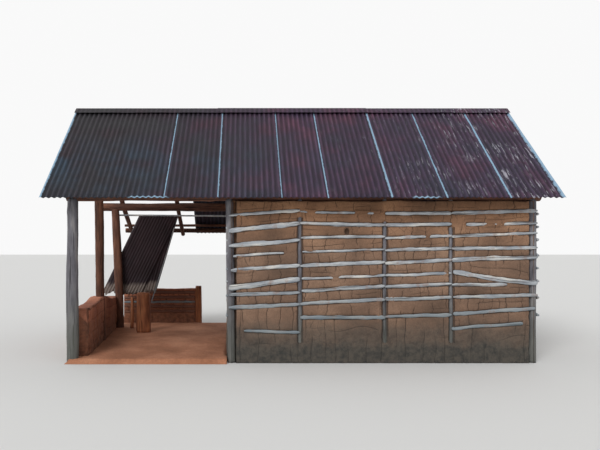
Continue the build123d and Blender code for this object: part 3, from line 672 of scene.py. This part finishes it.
def coursesOf(s, z, top, look):
    # Each course of daub lies between two laths, or is one lift where a wall has none. Gives each point's
    # course, its lower and upper edge, how far a lath's rim is, and how much daub covers a lath there.
    base = look["base"]
    lower, upper = np.full(z.shape, base), np.repeat(top[:, None], z.shape[1], 1)
    course, rim, covered = np.zeros(z.shape, int), np.full(z.shape, 1.0), np.zeros(z.shape)
    if not look["laths"]:
        waves = 0.02 * np.sin(s * 2.3 + look["seed"]) + 0.008 * np.sin(s * 9)
        course = np.floor((z - base + waves) / look["liftHeight"]).astype(int)
        lower = base - waves + course * look["liftHeight"]
        upper = lower + look["liftHeight"]
    for k, (low, high, zLow, zHigh, half, rise) in enumerate(look["laths"]):
        way = (s - low) / (high - low)
        line = zLow + (zHigh - zLow) * way + rise * (1 - np.abs(2 * way - 1))
        here = (s > low - 0.04) & (s < high + 0.04)
        under = here & (line <= z) & (line > lower)
        lower, course = np.where(under, line, lower), np.where(under, k + 1, course)
        upper = np.where(here & (line > z), np.minimum(upper, line), upper)
        apart = np.where((s > low - 0.004) & (s < high + 0.004), np.abs(z - line) - half * 1.15, 1.0)
        patch = lumps(s, 9 * k, z, 0.45, look["seed"] + k, 2)  # narrow laths are covered more
        cover = smooth(0.25, 0.5, patch + (0.0150 - half) * 90) * (apart < 0.02)
        covered = np.maximum(covered, cover)
        rim = np.minimum(rim, apart + 0.03 * cover)
    return course, lower, upper, rim, covered


def clodMarks(s, z, courses, look, draw):
    # With c the count of upright cracks passed, sin(pi c) times the spacing over pi is the distance to the
    # nearest crack, zero right on it. Level cracks run along the middle of a course, or on its edge between
    # blocks.
    course, lower, upper = courses
    tall = np.maximum(upper - lower, 0.03)
    share = np.clip((z - lower) / tall, 0, 1)
    marks = {key: np.zeros(z.shape) for key in ("seam", "level", "block", "seamOpen", "levelOpen", "pillow")}
    for row in np.unique(course):
        here = course == row
        a, t = s[here], share[here]
        gaps = draw.uniform(*look["crackStep"], int((s.max() - s.min() + 0.6) / look["crackStep"][0]))
        edges = s.min() - 0.3 + np.cumsum(gaps)
        sway = 0.010 * np.sin(t * 5 + row * 1.7 + a * 8) + 0.004 * np.sin(t * 14 + a * 31)
        count = np.interp(a + sway, edges, np.arange(len(edges)))
        nearest = np.rint(count).astype(int)
        reach = draw.uniform(*look["reach"], len(edges))[nearest]
        fromTop = draw.integers(0, 2, len(edges))[nearest]
        run = np.where(fromTop == 1, 1 - t, t)
        marks["seam"][here] = np.sin(math.pi * count) * np.interp(a, edges, gaps) / math.pi
        marks["seamOpen"][here] = 1 - smooth(reach - 0.12, reach + 0.12, run)
        marks["pillow"][here] = np.abs(np.sin(math.pi * count)) ** 0.5
        marks["block"][here] = np.sin(np.floor(count) * 12.9898 + row * 78.233)
        if "levelReach" in look:
            middle, levelReach = np.where(t > 0.5, 1.0, 0.0), look["levelReach"]
        else:
            middle = 0.66 if row == 0 else 0.5
            middle = middle + 0.10 * np.sin(a * 2.1 + row) + 0.05 * np.sin(a * 9 + 2 * row)
            levelReach = -0.3 * (row == 0)
        marks["level"][here] = (t - middle) * tall[here]
        patch = lumps(a, row * 3.0, 0, 0.8, look["seed"] + 50 + row, 2)
        marks["levelOpen"][here] = smooth(levelReach, 0.3, patch) * smooth(0.13, 0.2, tall[here])
    return marks


def daubWall(name, nodeName, look, finish, slotName):
    # A closed loop round the wall's section, up the outer face, over the top and down the inner face, is
    # carried along the wall. The outer face bulges between laths, sinks at the uprights and opens along
    # cracks.
    draw, seed = np.random.default_rng(look["seed"]), look["seed"]
    way, outward = np.array(look["way"], float), np.array(look["outward"], float)
    (start, end), base = look["span"], look["base"]
    columns = int((end - start) / look["step"]) + 1
    s = np.linspace(start, end, columns)
    top = look["top"](s) if callable(look["top"]) else np.full(columns, look["top"])
    outer = np.linspace(0, 1, int((top.max() - base) / look["step"]) + 1)
    inner = np.linspace(1, 0, int((top.max() - base) / look["innerStep"]) + 1)
    lip = np.linspace(0, 1, 5)[1:-1]
    share = np.concatenate([outer, np.ones(3), inner, np.zeros(3)])
    depth = np.concatenate([outer * 0, lip, inner * 0 + 1, lip[::-1]])
    s, share = np.meshgrid(s, share, indexing="ij")
    z = base + (top[:, None] - base) * share
    thick = np.repeat((depth * look["thick"])[None], columns, 0)
    isOuter, isInner = np.arange(len(depth)) < len(outer), depth == 1
    below = top[:, None] - z
    within = smooth(0, 0.02, np.minimum(s - start, end - s))
    *courses, rim, covered = coursesOf(s, z, top, look)
    marks = clodMarks(s, z, courses, look, draw)
    push = look["lump"] * lumps(s, thick, z, 0.55, seed, 4)
    push += look["lump"] * 0.35 * lumps(s, thick, z, 0.09, seed + 1, 2)
    bulge = smooth(-0.004, 0.04, rim)
    push += look["bulge"] * bulge - 0.006 * (1 - bulge) + 0.019 * covered + 0.005 * marks.pop("pillow")
    for crack, deep in (("seam", look["crackDeep"]), ("level", look["crackDeep"] * 0.8)):
        push -= deep * marks[crack + "Open"] * np.exp(-(marks[crack] / look["crackWide"]) ** 2)
    for middle, half, sink, low, high in look["uprights"]:
        side = np.abs(s - middle) + 0.007 * lumps(s + middle, thick + middle, z + middle, 0.2, seed + 9, 3)
        groove = 1 - smooth(half - 0.008, half + 0.010, side)
        groove *= smooth(low - 0.04, low + 0.04, z) * (1 - smooth(high - 0.04, high + 0.04, z))
        push = push * (1 - groove) - sink * groove
        # painted shade along the upright's edge goes into the rim distance
        rim = np.where((z > low) & (z < high), np.minimum(rim, np.abs(side - half) - 0.002), rim)
    for middle, height, wide, tall, deep in look["holes"]:
        away = ((s - middle) / wide) ** 2 + ((z - height) / tall) ** 2
        push -= deep * np.exp(-away ** 2)
        # painted shade round the hole's edge goes into the rim distance
        rim = np.minimum(rim, (away - 0.8) * 0.03)
    push = np.where(isOuter, push * smooth(-0.001, 0.012, below), 0)
    push -= np.where(isOuter, look["worn"] * np.exp(-(z - base) / 0.10), 0)
    backLumps = look["lump"] * lumps(s + 5, thick + 5, z + 5, 0.6, seed + 2, 3)
    hold = smooth(0, 0.03, below) * smooth(0, 0.03, z - base) * within
    push = push * within + np.where(isInner, -backLumps * hold, 0)
    points = way * s[..., None] + outward * (look["face"] + push - thick)[..., None]
    points[..., 2] += z
    # the rim distance tells the finish where to paint shade along edges
    marks["rim"] = np.where(isOuter, rim, 1)
    for key in ("seamOpen", "levelOpen"):
        marks[key] = np.where(isOuter, marks[key], 0)
    marks = {key: values.ravel() for key, values in marks.items()}
    faces = ringFaces(columns, len(depth), np.cross(way, outward)[2] < 0)
    newPiece(name, nodeName, finish, slotName, [(points.reshape(-1, 3), faces, marks)])


def boxWall(name, nodeName, outward, seed, finish=daub, slotName="daub", **changes):
    # a straight wall that fills its node's box, its outer face looking outward
    low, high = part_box(nodeName)
    axis = 0 if outward[0] == 0 else 1
    look = {**wallLook, "way": (acrossX, acrossY)[axis], "span": (low[axis], high[axis]), "outward": outward,
            "face": max(np.dot(outward, low), np.dot(outward, high)), "base": low.z, "top": high.z,
            "seed": seed, **changes}
    daubWall(name, nodeName, look, finish, slotName)


# uprights are (place along the wall, half width, how far the daub sinks, from, to), holes are (place along
# the wall, height, half width, half height, depth)
wallLook = {"step": 0.019, "innerStep": 0.07, "thick": 0.14, "lump": 0.006, "bulge": 0.006, "worn": 0.012,
            "crackStep": (0.085, 0.26), "reach": (0.15, 1.35), "liftHeight": 0.19, "crackDeep": 0.005,
            "crackWide": 0.010, "laths": [], "uprights": [], "holes": [], "base": 0.0}
acrossX, acrossY = np.array((1.0, 0, 0)), np.array((0, 1.0, 0))
ridgePosts = feetOf("room_ridge_posts")
cornerX = sorted({round(post[0], 2) for post in feetOf("room_corner_posts")})
studX = sorted({round(stud[0], 3) for stud in studs if abs(stud[1]) > longWallFrom})
longUprights = [(x, 0.033, 0.034, 0.28, 2.02 - 0.07 * k) for k, x in enumerate(studX)]
longUprights += [(x, 0.178, 0.1, -0.2, 3) for x in (cornerX[0] - 0.12, cornerX[1] + 0.12)]
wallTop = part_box("front_wall")[1].z - 0.036  # under the wall plate, which shows over the daub


def endUprights(x):
    # the studs and the ridge post of the wall at x
    side = [stud[1] for stud in studs if abs(stud[1]) < longWallFrom and abs(stud[0] - x) < 0.2]
    middle = [post[1] for post in ridgePosts if abs(post[0] - x) < 0.2]
    return [(y, 0.031, 0.034, 0.2, 2.0) for y in side] + [(y, 0.046, 0.05, -0.2, 2.2) for y in middle]


def longWallTop(s):
    return wallTop + 0.012 * lumps(s, 0, 0, 0.5, 7, 4)


longWall = {"span": cornerX, "top": longWallTop, "uprights": longUprights}
boxWall("frontDaub", "front_wall", (0, -1, 0), 301, **longWall, laths=lathLines("front_laths", acrossX),
        step=0.0135, holes=[(0.641, 1.817, 0.032, 0.045, 0.05)])
boxWall("rearDaub", "rear_wall", (0, 1, 0), 303, **longWall, laths=lathLines("rear_laths", acrossX))
boxWall("rightDaub", "right_wall", (1, 0, 0), 305, laths=lathLines("right_laths", acrossY),
        uprights=endUprights(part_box("right_wall")[1].x))
porchLines = lathLines("porch_wall_laths", acrossY)
for name, node, seed, lines in (("porchDaubFront", "porch_wall_front", 307, porchLines),
                                ("porchDaubRear", "porch_wall_rear", 309, porchLines),
                                ("porchDaubOverDoor", "porch_wall_over_door", 311, [])):
    low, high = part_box(node)
    lines = [line for line in lines if line[1] > low.y and line[0] < high.y]
    boxWall(name, node, (-1, 0, 0), seed, laths=lines, uprights=endUprights(low.x))


def gableTop(low, high):
    # the daub's upper edge: along the undersides of both slopes to the ridge pole
    corners = solidsOf("porch_gable")[0]
    side = corners[np.abs(corners[:, 1]) > abs(low.y) - 0.02]
    return lambda y: np.minimum(high.z, side[:, 2].max() + (abs(low.y) - np.abs(y)) * math.tan(roofSlope))


for name, node, outward, seed in (("porchGableDaub", "porch_gable", (-1, 0, 0), 321),
                                  ("rightGableDaub", "right_gable", (1, 0, 0), 323)):
    boxWall(name, node, outward, seed, top=gableTop(*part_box(node)), step=0.022, worn=0.0)

# the left low wall runs slightly outward to the back: its outer face goes from lowFront to lowRear
lowCorners = np.concatenate(solidsOf("left_low_wall"))
lowFront = lowCorners[lowCorners[:, 1] < lowCorners[:, 1].min() + 0.01].max(0)
lowRear = lowCorners[lowCorners[:, 1] > lowCorners[:, 1].max() - 0.01].max(0)
lowFront[2] = lowRear[2] = 0
lowWay = (lowRear - lowFront) / np.linalg.norm(lowRear - lowFront)
lowOut = np.array((lowWay[1], -lowWay[0], 0))


def lowWallTop(s):
    # worn down at the front, a little higher by the ridge post, lowest at the back
    y = s * lowWay[1]
    wavy = 0.012 * lumps(s, 0, 0, 0.5, 5, 3)
    return 0.728 + 0.05 * np.exp(-((y - 0.15) / 0.4) ** 2) - 0.085 * smooth(0.5, 1.35, y) + wavy


def rearLowTop(s):
    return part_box("rear_low_wall")[1].z - 0.012 + 0.010 * lumps(s, 0, 0, 0.6, 6)


blockLook = {**wallLook, "thick": 0.196, "step": 0.02, "innerStep": 0.03, "lump": 0.010,
             "crackStep": (0.22, 0.42), "reach": (0.9, 1.6), "liftHeight": 0.18, "crackDeep": 0.012,
             "crackWide": 0.016, "levelReach": -1.2, "seed": 331}
daubWall("leftLowMud", "left_low_wall", {
    **blockLook, "way": lowWay, "outward": lowOut, "face": lowFront @ lowOut, "top": lowWallTop,
    "span": (lowFront @ lowWay, lowRear @ lowWay)}, lowMud, "low_wall_mud")
backLow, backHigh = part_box("rear_low_wall")
boxWall("rearLowMud", "rear_low_wall", (0, -1, 0), 333, lowMud, "low_wall_mud", top=rearLowTop,
        thick=backHigh.y - backLow.y, laths=lathLines("low_wall_laths", acrossX), step=0.018, innerStep=0.04)
print("daub walls made")

# Corrugated sheets


def sheetMesh(origin, across, down, out, width, ends, phase, look, seed):
    # A sine wave across, carried down the sheet from ends[0] to ends[1], which may change across it. Slow
    # waves dent it the same way as the sheets it laps; the lower end lifts a little and is uneven.
    draw = np.random.default_rng(seed)
    x = np.linspace(0, width, int(width / look["pitch"] * look["samples"]) + 1)
    start, end = (np.broadcast_to(value(x) if callable(value) else value, x.shape) for value in ends)
    rows = int((end - start).max() / look["step"]) + 1
    ragged = look["ragged"] * np.minimum(lumps(x, seed, 0, look["raggedSize"], seed, 3) - 1, 0)
    x, v = np.meshgrid(x, np.linspace(0, 1, rows), indexing="xy")
    u = start + v * (end + ragged - start)[None]
    high = look["depth"] / 2 * np.cos(fullTurn * (x + phase) / look["pitch"])
    high += look["dent"] * lumps(x + phase, u, 0, 0.9, look["dentSeed"], 3)
    corner = np.exp(-np.minimum(x, width - x) / 0.05) * (0.3 + 0.7 * smooth(0.7, 1, v))
    high += look["curl"] * corner * (0.5 + 0.5 * np.sin(u * 3 + draw.uniform(0, 6)))
    upper = origin + across * x[..., None] + down * u[..., None] + out * (high + look["thick"])[..., None]
    # distance to a pale side edge, bare metal with a painted sky-blue glint, times its number in the look's
    # list of pale edges, or farEdge where that edge has none
    left, right = look["paleEdges"]
    sideEdge = np.minimum(x * left if left else farEdge, (width - x) * right if right else farEdge)
    marks = {"sheet": np.stack([sideEdge + x * 0, v, x * 0 + draw.uniform()], -1),
             "flow": np.stack([x + seed * 0.71, u, x * 0], -1)}
    points, faces, marks = plate(upper, out * look["thick"], marks)
    isTurned = np.dot(np.cross(across, down), out) < 0
    return points, [faces[:, ::-1] if isTurned else faces], marks


def stripsOf(low, high, isOver, look):
    # the pale strips along the left and right edge of a roof sheet, bare metal with a painted sky-blue glint,
    # at the laps
    # of upper sheets and at the verges: 0 for none, and the smaller the number, the wider the strip
    left = right = 0
    if isOver:
        left = (look["lap"] if low < look["wideLeft"] else look["wideLap"]) * (low > look["leftFrom"])
        right = look["lap"] if high < look["wideRight"] else look["wideLap"]
    if low < -look["verge"]:
        left = look["leftVerge"]
    if high > look["verge"]:
        right = look["rightVerge"]
    return left, right


def roofSheets(name, nodeName, side, isOver, seed):
    # each sheet of one slope, over its CAD solid
    down = np.array((0, side * math.cos(roofSlope), -math.sin(roofSlope)))
    out = np.array((0, side * math.sin(roofSlope), math.cos(roofSlope)))
    parts = []
    for k, solid in enumerate(fromLeft(nodeName)):
        low, high = solid[:, 0].min(), solid[:, 0].max()
        run = (solid - (0, 0, ridgeZ)) @ down
        origin = np.array((low, 0, ridgeZ)) + out * (lapLift * isOver + sheetGap)
        paleEdges = stripsOf(low, high, isOver, stripLook)
        look = {**sheetLook, "curl": 0.006 * isOver, "paleEdges": paleEdges, "dentSeed": 790 + side}
        ends = run.min(), run.max()
        parts.append(sheetMesh(origin, acrossX, down, out, high - low, ends, low, look, seed + 5 * k))
    newPiece(name, nodeName, roofIron, "roof_sheet", parts)


sheetLook = {"pitch": wavePitch, "depth": 0.018, "thick": 0.0016, "samples": 10, "step": 0.085, "dent": 0.004,
             "ragged": 0.006, "raggedSize": 0.8}
ridgeZ = 3.832  # where the planes of both slopes meet
lapLift = 0.0033  # upper sheets over lower ones
sheetGap = 0.0007  # between the CAD's plane and the sheets
farEdge = 9  # metres to an edge that isn't there
# places are along the ridge, and a sheet that reaches beyond verge ends there
stripLook = {"lap": 1.05, "wideLap": 0.8, "wideLeft": 1.5, "wideRight": 1.0, "leftFrom": -2.5,
             "verge": 3.4, "leftVerge": 0.6, "rightVerge": 0.4}
roofSheets("frontUnderSheets", "front_under_sheets", -1, 0, 801)
roofSheets("frontOverSheets", "front_over_sheets", -1, 1, 831)
roofSheets("rearUnderSheets", "rear_under_sheets", 1, 0, 861)
roofSheets("rearOverSheets", "rear_over_sheets", 1, 1, 891)


def hangingSheet(solid, out, turn, paleEdges, seed):
    # a sheet in an upright plane, its waves turned from upright by turn; both ends are cut level
    level = np.cross((0, 0, 1), out)
    level = level * np.sign(level[0]) / np.linalg.norm(level)
    rise = np.cross(level, out)
    rise = rise * np.sign(rise[2])
    down = -rise * math.cos(turn) - level * math.sin(turn)
    across = -level * math.cos(turn) + rise * math.sin(turn)
    x = solid @ across
    origin = out * ((solid @ out).min() + 0.009) + across * x.min()
    upper = solid[solid[:, 2] > solid[:, 2].max() - 0.06]
    slant, height = np.polyfit(upper @ level, upper[:, 2], 1)

    def topEnd(step):
        # down the sheet to its top cut: z = height + slant * place along the level
        start = origin + across * step[:, None]
        return (height + slant * (start @ level) - start[:, 2]) / (down[2] - slant * (down @ level))

    def lowEnd(step):
        return (solid[:, 2].min() - (origin + across * step[:, None])[:, 2]) / down[2]

    look = {**hangingLook, "paleEdges": paleEdges}
    return sheetMesh(origin, across, down, out, np.ptp(x), (topEnd, lowEnd), 0.0, look, seed)


hangingLook = {**sheetLook, "pitch": 0.052, "depth": 0.015, "samples": 8, "ragged": 0.07, "raggedSize": 0.12,
               "dent": 0.006, "step": 0.05, "curl": 0.0, "dentSeed": 790}
frontHang = {"turn": math.radians(26.3), "paleEdges": (0, 0.9)}
backHang = {"turn": math.radians(16.7), "paleEdges": (0.7, 0)}
hung = solidsOf("screen_sheets")
hungOut = np.linalg.svd(hung[0] - hung[0].mean(0), full_matrices=False)[2][2]
hungOut = hungOut * -np.sign(hungOut[1])
foremost = max((solid @ hungOut).mean() for solid in hung)
parts = []
for k, solid in enumerate(hung):
    hang = frontHang if (solid @ hungOut).mean() == foremost else backHang
    parts.append(hangingSheet(solid, hungOut, hang["turn"], hang["paleEdges"], 921 + k))
newPiece("hearthScreen", "screen_sheets", screenIron, "screen_sheet", parts)
print("sheets made")

# Ridge cap


def capMesh(solid, look, k):
    # an arc over the ridge with a straight wing each side, carried along one length of cap; its lower edges
    # wave
    low, high = solid.min(0), solid.max(0)
    x = np.linspace(low[0], high[0], int((high[0] - low[0]) / look["step"]) + 1)
    x, t = np.meshgrid(x, np.linspace(-1, 1, look["samples"]), indexing="ij")
    y, bend = t * high[1], look["foldRadius"]
    drop = (np.sqrt(y ** 2 + bend ** 2) - bend) * math.tan(roofSlope)
    z = high[2] - look["below"] - drop + look["wave"] * lumps(x, t, k, 0.5, 941 + k, 3) * np.abs(t)
    marks = {"sheet": np.stack([t * 0 + farEdge, np.abs(t) * 0.3, t * 0 + 0.3 + 0.2 * k], -1),
             "flow": np.stack([x, np.abs(y) * 3, x * 0], -1)}
    points, faces, marks = plate(np.stack([x, y, z], -1), (0, 0, look["thick"]), marks)
    return points, [faces[:, ::-1]], marks


capLook = {"step": 0.06, "samples": 31, "foldRadius": 0.03, "thick": 0.0016, "wave": 0.004, "below": 0.004}
capParts = [capMesh(solid, capLook, k) for k, solid in enumerate(fromLeft("ridge_cap"))]
newPiece("ridgeCap", "ridge_cap", roofIron, "roof_sheet", capParts)
print("ridge cap made")

# Earth floors


def earthSlab(name, nodeName, inside, look, seed):
    # a height over the plan: full inside, rounded off to the ground along the outline, with slow lumps;
    # inside gives how far a place lies within the outline
    low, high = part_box(nodeName)
    x = np.linspace(low.x, high.x, int((high.x - low.x) / look["step"]) + 1)
    y = np.linspace(low.y, high.y, int((high.y - low.y) / look["step"]) + 1)
    x, y = np.meshgrid(x, y, indexing="ij")
    within = inside(x, y)
    rag = within - look["rag"] * (1 + lumps(x, y, 0, 0.35, seed, 3))
    z = high.z * smooth(-0.004, look["round"], rag) ** 0.6
    z += look["lump"] * lumps(x, y, 0, 0.7, seed + 1, 4) * smooth(0, 0.08, rag)
    upper = np.stack([x, y, np.clip(z, 0.002, None)], -1).reshape(-1, 3)
    top = gridFaces(*x.shape)
    top = top[(within.ravel()[top] > -1e-6).all(1)]
    # closed below: the same quads turned over at ground level, with a skirt along every edge used once
    count = len(upper)
    edges = np.concatenate([top[:, [k, (k + 1) % 4]] for k in range(4)])
    _, where, uses = np.unique(np.sort(edges, axis=1), axis=0, return_index=True, return_counts=True)
    rim = edges[where[uses == 1]]
    skirt = np.stack([rim[:, 1], rim[:, 0], rim[:, 0] + count, rim[:, 1] + count], 1)
    faces = np.concatenate([top, top[:, ::-1] + count, skirt])[:, ::-1]
    used, renumbered = np.unique(faces, return_inverse=True)
    points = np.concatenate([upper, upper * (1, 1, 0)])[used]
    newPiece(name, nodeName, earth, "beaten_earth", [(points, [renumbered.reshape(-1, 4)], {})])


def boxInside(x, y, x0, y0, x1, y1):
    return np.minimum(np.minimum(x - x0, x1 - x), np.minimum(y - y0, y1 - y))


def porchInside(x, y):
    # right of the low wall's slanting face, whose foot hides the floor's edge, and the strip before the wall
    face = lowFront[0] + (y - lowFront[1]) * lowWay[0] / lowWay[1]
    main = boxInside(x, y, -farEdge, porchLow.y, porchHigh.x, porchHigh.y)
    strip = boxInside(x, y, porchLow.x, porchLow.y, 0, lowFront[1] + 0.03)
    return np.maximum(np.minimum(main, x - face + 0.05), strip)


def roomInside(x, y):
    # between the walls, and on through the doorway
    inner = boxInside(x, y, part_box("porch_wall_rear")[1].x, roomLow.y, roomHigh.x, roomHigh.y)
    return np.maximum(inner, boxInside(x, y, roomLow.x, doorway[0], roomHigh.x, doorway[1]))


slabLook = {"step": 0.025, "round": 0.05, "rag": 0.012, "lump": 0.006}
doorway = (-0.915, 0.0)  # from front to rear
porchLow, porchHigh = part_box("porch_floor")
roomLow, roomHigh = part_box("room_floor")
earthSlab("porchEarth", "porch_floor", porchInside, slabLook, 951)
earthSlab("roomEarth", "room_floor", roomInside, {**slabLook, "step": 0.04, "rag": 0.0}, 953)
print("floors made")

# Stage, light and camera


def stage(look):
    mesh = bpy.data.meshes.new("paleFloor")
    half, height = look["half"], look["height"]
    corners = [(x * half, y * half, height) for x, y in ((-1, -1), (1, -1), (1, 1), (-1, 1))]
    mesh.from_pydata(corners, [], [(0, 1, 2, 3)])
    finish, _, shader = startFinish("paleGround", 0.9)
    shader.inputs["Base Color"].default_value = look["colour"]
    mesh.materials.append(finish)
    newObject("paleFloor", mesh)


def lights(look):
    # an even sky that is nearly white where it is seen, straight or in a reflection, and a soft sun
    world = bpy.data.worlds.new("studio")
    bpy.context.scene.world = world
    world.use_nodes = True
    back = world.node_tree.nodes["Background"]
    rays = add(world.node_tree, "LightPath").outputs
    seen = larger(rays["Is Camera Ray"], larger(rays["Is Glossy Ray"], rays["Is Transmission Ray"]))
    plug(spread(seen, 0.0, 1.0, look["sky"], look["skySeen"]), back, "Strength")
    back.inputs["Color"].default_value = (1.0, 1.0, 1.0, 1)
    sun = bpy.data.lights.new("softSun", "SUN")
    sun.energy = look["sun"]
    sun.angle = math.radians(look["sunSize"])
    lamp = newObject("softSun", sun)
    lamp.rotation_euler = [math.radians(turn) for turn in look["sunTurn"]]


def camera(look):
    data = bpy.data.cameras.new("view")
    data.lens = look["lens"]
    data.sensor_width = look["sensor"]
    data.shift_x, data.shift_y = look["shift"]
    eye = newObject("view", data)
    eye.location = look["place"]
    eye.rotation_euler = (math.radians(90), 0, 0)
    bpy.context.scene.camera = eye


stage({"half": 60, "height": -0.002, "colour": (0.72, 0.72, 0.71, 1)})
lights({"sky": 0.62, "skySeen": 0.95, "sun": 1.5, "sunSize": 25, "sunTurn": (50, 0, -28)})
# the photograph's view: straight on, a little left of the middle, at eye height
camera({"lens": 36, "sensor": 36, "shift": (0.0933, 0.025), "place": (-0.78, -9.81, 1.70)})
bpy.context.scene.view_settings.view_transform = "Standard"
